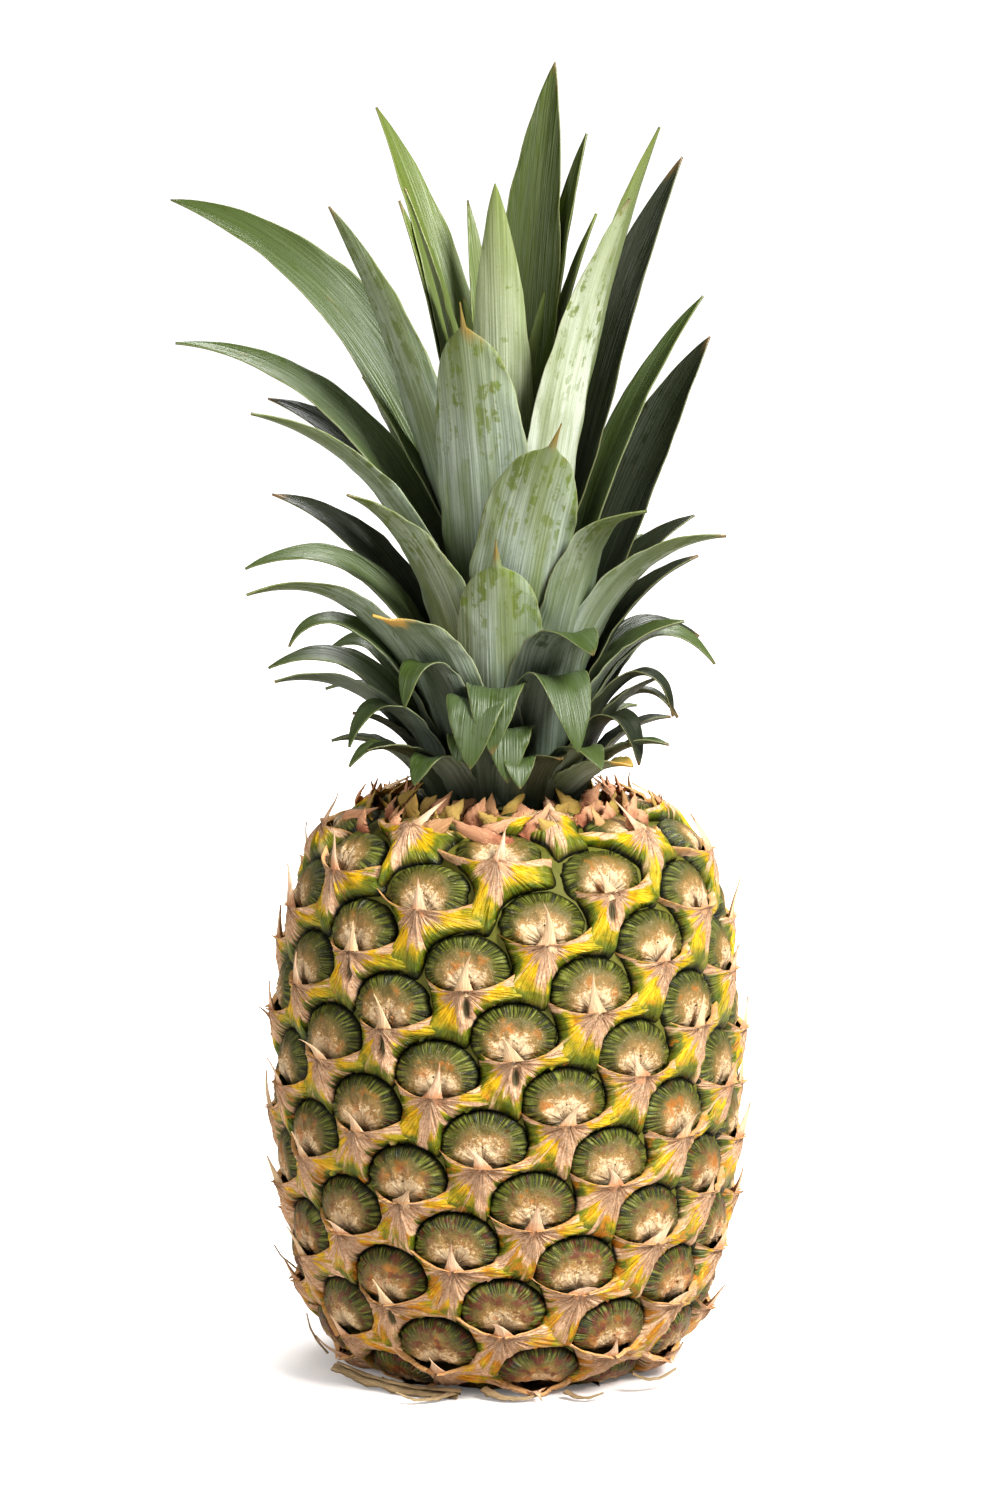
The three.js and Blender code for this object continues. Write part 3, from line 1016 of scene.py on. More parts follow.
@dataclass
class Rind:
    """The skin of the fruit: eyes in a golden-angle lattice, each with a bract and a spike."""

    body: Body
    seed: int = 11
    eye_area: float = 538.0
    first_azimuth: float = -8.8
    base_radius: float = 32.0
    base_samples: int = 400
    arc_samples: int = 4001
    top_height: float = 156.9
    colouring_height: float = 150.0
    jitter: float = 0.35
    neighbour_distance: float = 46.0
    neck_radius: float = 12.0
    disc_width: float = 12.3
    disc_height: float = 9.8
    disc_drop: float = 1.0
    disc_sink: float = 2.1
    disc_rise: float = 3.9
    disc_hollow: float = 1.3
    disc_crease: float = 0.42
    disc_crimp: float = 0.2
    disc_crimps: int = 26
    disc_rings: int = 18
    disc_sides: int = 120
    spike_drop: float = 6.0
    spike_length: tuple[float, float] = (9.5, 14.0)
    spike_lift: float = 3.4
    spike_tuck: float = 1.8
    spike_seed: int = 500
    spike_rows: int = 18
    spike_sides: int = 10
    wing_reach: float = 18.5
    bract_reach: float = 23.0
    bract_gap: float = 1.5
    bract_sweep: float = 97.5
    bract_lift: float = 1.7
    bract_dive: float = 3.1
    bract_keel: float = 2.1
    bract_ridge: float = 0.36
    bract_rows: int = 20
    bract_columns: int = 88
    skirt_depth: float = 1.4
    skirt_drop: float = 0.25
    slit_chance: float = 0.84
    slit_depth: float = 1.9
    slit_lip: float = 0.45
    ground_depth: float = 1.6
    ground_rows: int = 110
    ground_sides: int = 160
    bands: tuple[str, ...] = ("lowest", "lower", "upper", "highest")

    def __post_init__(self) -> None:
        """Lay out the eyes."""
        self.random = np.random.default_rng(self.seed)
        self.eyes = self.lay_out()
        for eye in self.eyes:
            self.find_neighbours(eye)

    def lay_out(self) -> list[Eye]:
        """Step up the fruit by equal areas, turning by the golden angle.

        Returns:
            The eyes, base first.
        """
        rising = slice(0, self.base_samples)
        start = float(np.interp(self.base_radius, self.body.radius[rising], self.body.arc[rising]))
        end = float(self.body.arc[np.argmax(self.body.height > self.top_height)])
        arcs = np.linspace(start, end, self.arc_samples)
        radii = self.body.at(self.body.radius, arcs)
        area = running_sum(np.pi * (radii[1:] + radii[:-1]) * np.diff(arcs))
        eyes = []
        for number in range(int(area[-1] / self.eye_area)):
            arc = float(np.interp((number + 0.5) * self.eye_area, area, arcs))
            aside, above = self.jitter * self.random.normal(0, 1, 2)
            radius = float(self.body.at(self.body.radius, arc))
            azimuth = math.radians(self.first_azimuth + number * GOLDEN_ANGLE) + aside / radius
            height = float(self.body.at(self.body.height, arc))
            lowness = float(np.clip(1.0 - height / self.colouring_height, 0, 1))
            eyes.append(Eye(number, azimuth, arc + above, radius, height, lowness, self.random.random()))
        return eyes

    def find_neighbours(self, eye: Eye) -> None:
        """Note which eyes stand near one.

        Args:
            eye: the eye whose neighbours are noted.
        """
        for other in self.eyes:
            turn = (other.azimuth - eye.azimuth + math.pi) % (2 * math.pi) - math.pi
            aside = turn * (eye.radius + other.radius) / 2
            above = other.arc - eye.arc
            if other is not eye and math.hypot(aside, above) < self.neighbour_distance:
                eye.neighbours.append((aside, above))

    def on_skin(self, eye: Eye, x: Array, y: Array, lift: Array) -> Array:
        """Turn an eye's own flat coordinates into points on the fruit.

        Args:
            eye: the eye.
            x: millimetres to the right of its middle.
            y: millimetres above its middle, along the skin.
            lift: millimetres out from the smooth fruit.

        Returns:
            The points, one row each.
        """
        arc = eye.arc + y
        radius = np.maximum(self.body.at(self.body.radius, arc), self.neck_radius)
        return self.body.place(eye.azimuth + x / radius, arc, lift)

    def dome(self, eye: Eye, x: Array, y: Array) -> Array:
        """Give the height of an eye's domed disc.

        Args:
            eye: the eye.
            x: millimetres to the right of its middle.
            y: millimetres above its middle.

        Returns:
            Millimetres above the smooth fruit.
        """
        above = y + self.disc_drop
        spread = np.sqrt((x / self.disc_width) ** 2 + (above / self.disc_height) ** 2)
        plateau = np.clip(1.0 - np.minimum(spread, 1.0) ** 3.6, 0, 1) ** 0.62
        round_spike = np.arctan2(y + self.spike_drop, x)
        from_spike = np.hypot(x, y + self.spike_drop)
        creases = wobble(round_spike * 2.3, eye.number * 1.7, 3) * hill(from_spike, 5.0, 3.6)
        lumps = wobble(x / 8 + y / 12, eye.number * 0.9, 2) * 0.3
        around = np.arctan2(above, x)
        waves = np.sin(around * self.disc_crimps + 2.2 * np.sin(around * 3 + 6 * eye.chance))
        crimp = waves * hill(spread, 0.86, 0.08)
        sunk = 1.5 * smoothstep(-y, 3.0, 9.0)
        hollow = hill(from_spike, 0.0, 4.2)
        height = self.disc_rise * plateau - self.disc_sink + self.disc_crease * creases + lumps
        height = height - self.disc_hollow * hollow + self.disc_crimp * crimp - sunk
        return height - 0.05 * above * plateau

    def add_disc(self, mould: Mould, eye: Eye) -> None:
        """Add an eye's disc to a mould.

        Args:
            mould: where it goes.
            eye: the eye.
        """
        half = self.disc_rings // 2
        rings = np.concatenate([np.linspace(0.02, 0.66, half), np.linspace(0.71, 1.0, half)])
        spread, angle = grid(rings, np.linspace(0, 2 * np.pi, self.disc_sides, endpoint=False))
        outline = 1.0 + 0.035 * wobble(np.sin(angle) * 1.7, eye.number * 2.3 + np.cos(angle), 2)
        x = spread * np.cos(angle) * self.disc_width * outline
        y = spread * np.sin(angle) * self.disc_height * outline - self.disc_drop
        mould.add(
            self.on_skin(eye, x, y, self.dome(eye, x / outline, y)),
            grid_faces(self.disc_rings, self.disc_sides, closed=True),
            eye=marks_of(x, y, eye.number * 3.7),
            eye_kind=marks_of(spread, eye.lowness, eye.chance),
        )

    def bract_reaches(self, eye: Eye, angle: Array) -> tuple[Array, Array]:
        """Find how far a bract runs in each direction from the foot of its spike before it meets a neighbour.

        Args:
            eye: the bract's own eye.
            angle: directions, in radians from the right, counter-clockwise.

        Returns:
            The reach in millimetres, and 1 where it ends at a neighbour or 0 where it ends free.
        """
        level = np.abs(np.cos(angle))
        stretch = 1.0 + 0.3 * float(smoothstep(np.array(eye.height), 130.0, 150.0))
        free = (self.bract_reach + (self.wing_reach - self.bract_reach) * level) * stretch
        reach = free.copy()
        direction_x = np.cos(angle) / self.disc_width
        direction_y = np.sin(angle) / self.disc_height
        for aside, above in eye.neighbours:
            start_x = -aside / self.disc_width
            start_y = (-self.spike_drop - above + self.disc_drop) / self.disc_height
            a = direction_x**2 + direction_y**2
            b = start_x * direction_x + start_y * direction_y
            c = start_x**2 + start_y**2 - 0.93
            inside = b * b - a * c
            root = (-b - np.sqrt(np.maximum(inside, 0))) / a
            reach = np.where((inside > 0) & (root > self.bract_gap) & (root < reach), root, reach)
        return reach, (reach < free - 1e-6).astype(float)

    def bract_outline(self, eye: Eye) -> tuple[Array, Array, Array, Array]:
        """Sweep round the foot of a bract's spike from one wing to the other.

        Args:
            eye: the bract's own eye.

        Returns:
            For each column of the bract: how far round it is, from -1 to 1, its direction in radians, its
            reach in millimetres, and 1 where it ends at a neighbour.
        """
        sweep = np.linspace(-1, 1, self.bract_columns)
        sweep = np.sign(sweep) * (1 - (1 - np.abs(sweep)) ** 1.35)
        lean = math.radians(6 * (eye.chance - 0.5))
        angle = -math.pi / 2 + sweep * math.radians(self.bract_sweep) + lean
        reach, met = self.bract_reaches(eye, angle)
        kernel = np.hanning(7)[1:-1]
        reach = np.convolve(np.pad(reach, 2, mode="edge"), kernel / kernel.sum(), mode="valid")
        return sweep, angle, reach * (1.0 - 0.12 * np.abs(sweep) ** 10), met

    def add_bract(self, mould: Mould, eye: Eye) -> None:
        """Add an eye's bract to a mould.

        Args:
            mould: where it goes.
            eye: the eye.
        """
        sweep, directions, reach, met = self.bract_outline(eye)
        along, angle = grid(np.linspace(0.03, 1.0, self.bract_rows), directions)
        wing = np.abs(sweep)
        distance = along * reach
        x = distance * np.cos(angle)
        sag = np.sin(np.pi * np.minimum(along * 1.05, 1)) * wing**3
        y = distance * np.sin(angle) - 0.9 * sag + 0.013 * x**2 * smoothstep(wing, 0.45, 1.0)
        slit_size = 0.0 if eye.chance < self.slit_chance else 1.0
        slit_x = (x - 0.8 * math.sin(eye.number)) / 1.25
        slit_y = (y + 5.0) / 3.4
        slit = slit_size * np.exp(-((slit_x**2 + slit_y**2) ** 1.5))
        lip = slit_size * hill(np.hypot(slit_x, slit_y), 1.35, 0.35)
        dive = np.where(met > 0.5, along**7, 0.35 * along**3)
        ridges = wobble(angle * 3.4, eye.number * 3.1, 3)
        keel = np.exp(-((np.abs(x) / 3.8) ** 1.5)) * smoothstep(y, -15.0, -1.0)
        lift = self.bract_lift - 0.3 * along - self.bract_dive * dive
        lift = lift + self.bract_ridge * ridges * np.sin(np.pi * along**0.8)
        lumps = 0.3 * wobble(x / 7 + y / 9, eye.number * 0.37, 2)
        lift += self.bract_keel * keel + self.slit_lip * lip - self.slit_depth * slit + lumps
        lift += 1.3 * smoothstep(wing, 0.7, 0.95) * (1 - along**2)
        lift -= 1.6 * along**3 * smoothstep(wing, 0.75, 1.0)
        skin_y = widen(y - self.spike_drop)
        skin_y[:, [0, -1]] -= self.skirt_drop
        skin_lift = widen(lift)
        skin_lift[:, [0, -1]] -= self.skirt_depth
        heart = hill(x, 0.0, 2.7 + 2.6 * eye.lowness) * smoothstep(y, -17.0, -5.0)
        foot = 1.15 * hill(distance, 0.0, 5.4 + 3.0 * eye.lowness)
        edges = smoothstep(wing, 0.8, 0.95) * (0.66 + 0.4 * wobble(along * 2, eye.number, 2))
        tanned = (0.24 + 0.62 * eye.lowness**1.4) * (0.6 + 0.55 * wobble(angle * 1.3, eye.number, 2))
        dryness = np.max([heart, foot, edges, tanned, lip * 0.9], axis=0)
        mould.add(
            self.on_skin(eye, widen(x), skin_y, skin_lift),
            grid_faces(self.bract_rows, self.bract_columns + 2),
            flap=marks_of(widen(x), widen(y), eye.number * 2.9),
            flap_kind=marks_of(widen(along), widen(sweep), eye.lowness),
            flap_slit=marks_of(widen(slit), widen(dryness), widen(dive * met)),
        )

    def add_spike(self, mould: Mould, eye: Eye) -> None:
        """Add an eye's papery spike to a mould.

        Args:
            mould: where it goes.
            eye: the eye.
        """
        random = np.random.default_rng(self.spike_seed + eye.number)
        length = random.uniform(*self.spike_length) * (1.0 - 0.25 * eye.lowness)
        lean = math.radians(random.normal(0, 14))
        curl = random.uniform(-12, 30) + (35 if random.random() < 0.3 else 0)
        places = np.linspace(0, 1, self.spike_rows)
        width = 2.5 * (1 - places) ** 2.4 + 0.9 * (1 - places) ** 0.8 + 0.05
        rise = np.radians(9 + curl * places**1.2)
        step = length / (self.spike_rows - 1)
        forward = running_sum(np.cos(rise[1:]) * step)[:, None]
        lift = running_sum(np.sin(rise[1:]) * step)[:, None]
        bend = (lean + 0.5 * random.normal(0, 0.5) * places)[:, None]
        along, angle = grid(places, np.linspace(0, 2 * np.pi, self.spike_sides, endpoint=False))
        aside = np.cos(angle) * width[:, None]
        thick = (0.2 + 0.35 * (1 - places) ** 2)[:, None] * np.sin(angle)
        thick = thick - 0.62 * np.abs(aside) * (0.75 + 0.25 * along)
        twist = random.normal(0, 0.5) * along
        across = aside * np.cos(twist)
        thick = thick + aside * np.sin(twist)
        x = across * np.cos(bend) + forward * np.sin(bend)
        y = forward * np.cos(bend) - across * np.sin(bend) - self.spike_drop - self.spike_tuck
        mould.add(
            self.on_skin(eye, x, y, self.spike_lift + lift + thick),
            grid_faces(self.spike_rows, self.spike_sides, closed=True),
            strip=marks_of(aside, along * length, eye.number * 1.3),
            strip_kind=marks_of(along, np.cos(angle), eye.chance),
        )

    def build(self, skin: Material, flesh: Material, paper: Material) -> None:
        """Make the rind's pieces, in bands up the fruit.

        Args:
            skin: the finish of the eyes.
            flesh: the finish of the bracts.
            paper: the finish of the spikes.
        """
        kinds = (
            ("eyes", self.add_disc, skin),
            ("bracts", self.add_bract, flesh),
            ("spikes", self.add_spike, paper),
        )
        for band, level in enumerate(self.bands):
            first = band * len(self.eyes) // len(self.bands)
            last = (band + 1) * len(self.eyes) // len(self.bands)
            for kind, add, finish in kinds:
                mould = Mould(f"{kind}_{level}")
                for eye in self.eyes[first:last]:
                    add(mould, eye)
                mould.cast(finish, "fruit_skin")

    def build_ground(self, material: Material) -> None:
        """Make the dark ground under the eyes, which stands for the fruit's own node.

        Args:
            material: its finish.
        """
        arcs = np.linspace(0, self.body.arc[-1], self.ground_rows)
        arc, azimuth = grid(arcs, np.linspace(0, 2 * np.pi, self.ground_sides, endpoint=False))
        mould = Mould("rind_ground")
        faces = grid_faces(self.ground_rows, self.ground_sides, closed=True)
        mould.add(self.body.place(azimuth, arc, -self.ground_depth), faces)
        mould.cast(material, "fruit_skin", "fruit")


# ---- The crown ---------------------------------------------------------------------------------------------


class Look(Enum):
    """The kinds of leaf in the crown, each with its finish."""

    FROSTED = LeafFinish("leaf_frosted", linear(92, 108, 42), linear(86, 102, 34), 0.72, 0.3, rubbed=0.42)
    THORNED = LeafFinish(
        "leaf_thorned", linear(106, 122, 44), linear(100, 114, 38), 0.86, 0.3,
        tip=linear(136, 112, 46), tip_from=0.885, rubbed=0.36,
    )
    FRESH = LeafFinish("leaf_fresh", linear(62, 76, 30), linear(74, 90, 30), 0.4, 0.16, tip_from=0.975)
    LIME = LeafFinish("leaf_lime", linear(106, 120, 44), linear(102, 118, 34), 0.36, 0.16, tip_from=0.97)
    DEEP = LeafFinish("leaf_deep", linear(74, 88, 20), linear(70, 84, 18), 0.05, 0.04)
    HOARY = LeafFinish(
        "leaf_hoary", linear(116, 132, 62), linear(116, 132, 62), 0.95, 0.5, tip_from=0.955, rubbed=0.34,
        frost=linear(216, 222, 206), thin_frost=linear(190, 198, 178),
    )
    PALE = LeafFinish(
        "leaf_pale", linear(118, 134, 56), linear(120, 136, 60), 0.86, 0.5, tip_from=0.955,
        frost=linear(190, 196, 170), thin_frost=linear(158, 168, 136),
    )
    DARK = LeafFinish(
        "leaf_dark", linear(46, 52, 20), linear(34, 40, 14), 0.15, 0.08, tip_from=0.94, rubbed=0.3
    )
    FOLDED = LeafFinish("leaf_folded", linear(56, 68, 34), linear(66, 84, 24), 0.42, 0.18, rubbed=0.25)
    STRAW = LeafFinish(
        "leaf_straw", linear(82, 98, 46), linear(180, 158, 70), 0.66, 0.2,
        tip=linear(206, 164, 84), tip_from=0.82, rubbed=0.12,
    )


@dataclass(frozen=True)
class Leaf:
    """One leaf, in the same terms as the frame's own leaves.

    Its foot stands on the stem at an azimuth and a height. The midrib leans out by the lean, bows further out
    along its length and droops from the fold. A cut under 1 makes a blunt tip with a thorn. Angles are in
    degrees.
    """

    azimuth: float
    height: float
    length: float
    width: float
    lean: float
    bow: float
    droop: float = 0.0
    fold: float = 0.6
    sway: float = 0.0
    roll: float = 0.0
    cut: float = 1.0
    look: Look = Look.FROSTED


# Each leaf's azimuth, height, length, width, lean and bow, then what sets it apart.
LEAVES = (
    Leaf(0, 159, 41, 18, 4, 72, droop=100, fold=0.45, look=Look.FOLDED),
    Leaf(60, 159, 44, 17, 8, 80, droop=90, fold=0.5, look=Look.DARK),
    Leaf(-64, 159, 48, 17, 10, 84, droop=70, fold=0.55, look=Look.FOLDED),
    Leaf(-80, 159, 60, 16, 16, 88, roll=15, look=Look.FRESH),
    Leaf(-14, 160, 53, 22, 2, 66, droop=108, fold=0.45, look=Look.FOLDED),
    Leaf(80, 160, 48, 13, 2, 98, droop=52, look=Look.DARK),
    Leaf(158, 160, 50, 17, 6, 84, droop=60, fold=0.6, look=Look.FOLDED),
    Leaf(-156, 160, 54, 18, 8, 80, droop=70, fold=0.55, look=Look.FOLDED),
    Leaf(-92, 160, 66, 16, 12, 88, droop=20, roll=-20, look=Look.FRESH),
    Leaf(25, 161, 62, 21, 0, 66, droop=104, fold=0.45, look=Look.FOLDED),
    Leaf(70, 160, 57, 14, 2, 92, droop=80, look=Look.DARK),
    Leaf(-118, 162, 62, 15, 8, 82, droop=40, roll=-25, look=Look.FRESH),
    Leaf(86, 163, 68, 13, 0, 96, droop=50, roll=20, look=Look.FRESH),
    Leaf(118, 163, 66, 16, 6, 86, droop=30, roll=25, look=Look.DARK),
    Leaf(-84, 164, 70, 14, 4, 92, droop=60, fold=0.7, roll=-20, look=Look.FRESH),
    Leaf(-6, 164, 51, 20, 2, 64, droop=108, fold=0.45, look=Look.FOLDED),
    Leaf(-40, 164, 54, 16, 2, 74, droop=100, look=Look.FOLDED),
    Leaf(180, 165, 70, 18, 6, 82, droop=20, look=Look.FRESH),
    Leaf(-140, 167, 76, 17, 6, 82, look=Look.FRESH),
    Leaf(76, 167, 55, 19, 4, 76, roll=15, look=Look.FRESH),
    Leaf(-80, 167, 82, 17, 8, 86, droop=14, roll=22),
    Leaf(28, 168, 58, 26, 3, 62, droop=60, look=Look.FOLDED),
    Leaf(144, 169, 78, 17, 8, 74, look=Look.FRESH),
    Leaf(-44, 169, 58, 26, 8, 68, cut=0.94, look=Look.STRAW),
    Leaf(86, 170, 68, 16, 4, 64, roll=20, look=Look.DARK),
    Leaf(-86, 172, 88, 16, 2, 98, droop=18, roll=-24, look=Look.FRESH),
    Leaf(-5, 172, 63, 25, 10, 13, cut=0.9, look=Look.THORNED),
    Leaf(66, 173, 83, 20, 2, 84, roll=-14),
    Leaf(-172, 173, 86, 20, 6, 66, look=Look.FRESH),
    Leaf(-122, 174, 72, 13, 9, 56, roll=-30, look=Look.DARK),
    Leaf(-100, 176, 86, 16, 6, 72, roll=-35, look=Look.DARK),
    Leaf(100, 178, 70, 15, 6, 60, roll=30, look=Look.DARK),
    Leaf(-50, 178, 82, 24, 1, 68),
    Leaf(162, 180, 96, 20, 8, 52, look=Look.FRESH),
    Leaf(-142, 182, 104, 18, 8, 50, look=Look.FRESH),
    Leaf(45, 182, 74, 22, 13, 20, droop=44),
    Leaf(2, 184, 86, 28, 10, 18, sway=9, cut=0.93, look=Look.THORNED),
    Leaf(-75, 184, 106, 17, 2, 76, roll=18),
    Leaf(126, 184, 91, 14, 17, 29, roll=30, look=Look.DARK),
    Leaf(110, 186, 107, 22, 16, 19, roll=38, look=Look.DARK),
    Leaf(-116, 186, 106, 15, 4, 76, roll=-40, look=Look.DARK),
    Leaf(-100, 188, 134, 17, 3, 86, roll=-30, look=Look.FRESH),
    Leaf(178, 192, 118, 22, 5, 40, look=Look.FRESH),
    Leaf(94, 195, 109, 15, 9, 29, roll=32, look=Look.FRESH),
    Leaf(-20, 198, 101, 28, 8, 12, cut=0.95, look=Look.THORNED),
    Leaf(48, 202, 126, 25, 4, 24, look=Look.HOARY),
    Leaf(-104, 204, 154, 22, 4, 74, roll=-50, look=Look.FRESH),
    Leaf(108, 204, 135, 19, 7, 22, roll=38, look=Look.DARK),
    Leaf(-70, 206, 122, 19, 8, 25, roll=28),
    Leaf(72, 212, 134, 15, 7, 16, roll=-20, look=Look.LIME),
    Leaf(-122, 218, 106, 12, 6, 18, look=Look.LIME),
    Leaf(-8, 220, 108, 20, 3, 10, look=Look.PALE),
    Leaf(-135, 222, 132, 20, 6, 30, look=Look.LIME),
    Leaf(152, 226, 134, 25, 2, 15, look=Look.DEEP),
    Leaf(-98, 228, 99, 15, 4, 18, look=Look.LIME),
    Leaf(125, 230, 111, 16, 3, 16, look=Look.DEEP),
)

SMALL_LEAVES = (
    Leaf(112, 232, 88, 10, 4, 20, look=Look.LIME),
    Leaf(-150, 232, 90, 10, 4, 12, look=Look.LIME),
    Leaf(40, 236, 62, 8, 4, 10, look=Look.LIME),
    Leaf(-60, 238, 58, 8, 3, 10, look=Look.LIME),
    Leaf(178, 239, 60, 8, 3, 10, look=Look.LIME),
    Leaf(-20, 158.5, 33, 16, 12, 62, droop=90, fold=0.6, look=Look.FOLDED),
    Leaf(-52, 158.5, 34, 15, 26, 76, look=Look.DARK),
    Leaf(-76, 160, 34, 12, 16, 68, look=Look.DARK),
    Leaf(46, 158.5, 30, 19, 40, 56, look=Look.STRAW),
    Leaf(72, 160, 42, 13, 10, 58, look=Look.DARK),
    Leaf(-98, 161, 46, 13, 10, 82, droop=20, look=Look.FRESH),
    Leaf(96, 159, 34, 14, 20, 70, look=Look.DARK),
    Leaf(130, 159, 36, 15, 20, 76, look=Look.FRESH),
    Leaf(-128, 159, 38, 15, 18, 76, look=Look.DARK),
    Leaf(172, 159, 34, 16, 24, 74, look=Look.FRESH),
    Leaf(20, 158.5, 28, 15, 24, 70, look=Look.DARK),
    Leaf(-36, 158.2, 31, 15, 26, 70, droop=60, fold=0.55, look=Look.FOLDED),
    Leaf(5, 158.2, 30, 14, 24, 62, droop=80, fold=0.55, look=Look.FOLDED),
    Leaf(33, 158.4, 35, 15, 26, 66, droop=50, fold=0.6, look=Look.FRESH),
    Leaf(-62, 158.2, 36, 14, 28, 74, droop=40, fold=0.6, look=Look.FRESH),
    Leaf(62, 158.2, 36, 13, 26, 76, look=Look.FOLDED),
    Leaf(-88, 158.2, 34, 13, 26, 80, look=Look.FOLDED),
)


@dataclass
class Crown:
    """The crown of leaves on its stem."""

    stem_foot: float = 157.3
    stem_top: float = 242.0
    stem_foot_radius: float = 19.5
    stem_top_radius: float = 3.5
    gap: float = 0.3
    thickness: float = 1.6
    tip_thickness: float = 0.8
    margin: float = 0.08
    foot_wrap: float = 62.0
    blade_wrap: float = 30.0
    folded_wrap: float = 8.0
    fold_length: float = 0.3
    thorn_width: float = 0.17
    thorn_length: float = 0.17
    least_half_width: float = 0.12
    rows: int = 56
    columns: int = 15

    def stem_radius(self, height: float) -> float:
        """Give the stem's radius at a height."""
        climb = min(max((height - self.stem_foot) / (self.stem_top - self.stem_foot), 0.0), 1.0)
        return self.stem_foot_radius + (self.stem_top_radius - self.stem_foot_radius) * climb

    def midrib(self, leaf: Leaf) -> tuple[Array, Array, Array, Array]:
        """Walk along a leaf's midrib.

        Args:
            leaf: the leaf.

        Returns:
            The points, the headings, the directions across the blade, and how far it has folded at each.
        """
        outward = polar(leaf.azimuth, 1.0, 0.0)
        sideways = np.array([-outward[1], outward[0], 0.0])
        up = np.array([0.0, 0.0, 1.0])
        along = np.linspace(0, 1, self.rows)
        drooping = 1.0 if leaf.droop else 0.0
        folded = smoothstep(along, leaf.fold, leaf.fold + self.fold_length) * drooping
        tilt = np.radians(leaf.lean + leaf.bow * along**1.3 + leaf.droop * folded)
        swing = 2 * math.sin(math.radians(leaf.sway)) * along
        heading = np.sin(tilt)[:, None] * outward + np.cos(tilt)[:, None] * up
        heading = unit(heading + swing[:, None] * sideways)
        start = outward * (self.stem_radius(leaf.height) + self.gap + self.thickness) + up * leaf.height
        steps = heading[:-1] * leaf.length / (self.rows - 1)
        points = start + np.concatenate([np.zeros((1, 3)), np.cumsum(steps, axis=0)])
        across = unit(sideways - heading * (heading @ sideways)[:, None])
        return points, heading, across, folded

    def half_width(self, leaf: Leaf, along: Array) -> Array:
        """Give half of a leaf's width along it; a leaf with a broken tip ends in shoulders and a short thorn.

        Args:
            leaf: the leaf.
            along: places along it, 0 to 1.

        Returns:
            Millimetres at each place.
        """
        if leaf.cut < 1:
            shoulder = np.clip(1 - (along / (leaf.cut - 0.03)) ** 7, 0, 1) ** 0.6
            thorn = self.thorn_width * np.clip((1 - along) / self.thorn_length, 0, 1) ** 1.2
            shape = np.maximum(shoulder * (0.9 + 0.4 * along - 0.4 * along**2), thorn)
        else:
            shape = np.clip(1 - along**3, 0, 1) ** 0.8 * (0.86 + 0.5 * along - 0.5 * along**2)
        return np.maximum(leaf.width / 2 * shape, self.least_half_width)

    def add_leaf(self, mould: Mould, leaf: Leaf, number: int) -> None:
        """Add a leaf's blade, both faces, to a mould.

        Args:
            mould: where it goes.
            leaf: the leaf.
            number: the leaf's own number, which seeds its small waves.
        """
        points, heading, across, folded = self.midrib(leaf)
        places = np.linspace(0, 1, self.rows)
        roll = np.radians(leaf.roll) * smoothstep(places, 0, 0.5)
        roll = (roll + 0.06 * wobble(places * 1.5, number * 1.1, 2) * places)[:, None]
        inward = np.cross(heading, across)
        rolled_across = across * np.cos(roll) + inward * np.sin(roll)
        rolled_inward = inward * np.cos(roll) - across * np.sin(roll)
        clasp = self.foot_wrap + (self.blade_wrap - self.foot_wrap) * np.minimum(1, places * 3)
        wrap = np.radians(clasp + (self.folded_wrap - clasp) * folded)[:, None]
        half = self.half_width(leaf, places)[:, None]
        radius = half / wrap
        loop, side = both_faces(np.sin(np.linspace(-np.pi / 2, np.pi / 2, self.columns)))
        side[[0, self.columns - 1]] = 0.0
        along, share = grid(places, loop)
        edge_wave = 1 + 0.035 * wobble(along * 4, number * 2.1, 3) * np.abs(share) ** 3
        bend = share * wrap * edge_wave
        blade = self.thickness + (self.tip_thickness - self.thickness) * along
        blade = blade * np.sqrt(np.clip(1 - share**2, 0, 1)) * 0.42 + self.margin
        crease = 0.1 * half * (np.abs(share) - 0.5 * share**2)
        ripple = 0.05 * half * wobble(along * 5 + share, number * 1.9, 2) * np.abs(share) ** 1.5
        ripple = ripple + 0.05 * wobble(share * 2.4, number * 0.7, 2) * np.sqrt(half)
        reach = radius - side * blade
        deep = radius - np.cos(bend) * reach + crease + ripple
        mould.add(
            sections(points, rolled_across, rolled_inward, np.sin(bend) * reach, deep).reshape(-1, 3),
            grid_faces(self.rows, len(loop), closed=True),
            blade=marks_of(share * half, along * leaf.length, number * 5.3),
            blade_kind=marks_of(share, along, side),
        )

    def build(self, finishes: dict[Look, Material]) -> None:
        """Make every leaf of the crown, the larger ones in the place of their nodes.

        Args:
            finishes: the finish for each kind of leaf.
        """
        for number, leaf in enumerate(LEAVES, start=1):
            mould = Mould(f"blade_{number:02d}")
            self.add_leaf(mould, leaf, number)
            mould.cast(finishes[leaf.look], "leaf_green", f"leaf_{number:02d}")
        for number, leaf in enumerate(SMALL_LEAVES, start=1):
            mould = Mould(f"small_blade_{number:02d}")
            self.add_leaf(mould, leaf, 100 + number)
            mould.cast(finishes[leaf.look], "leaf_green")


# ---- Papery pieces at the neck and the foot ----------------------------------------------------------------


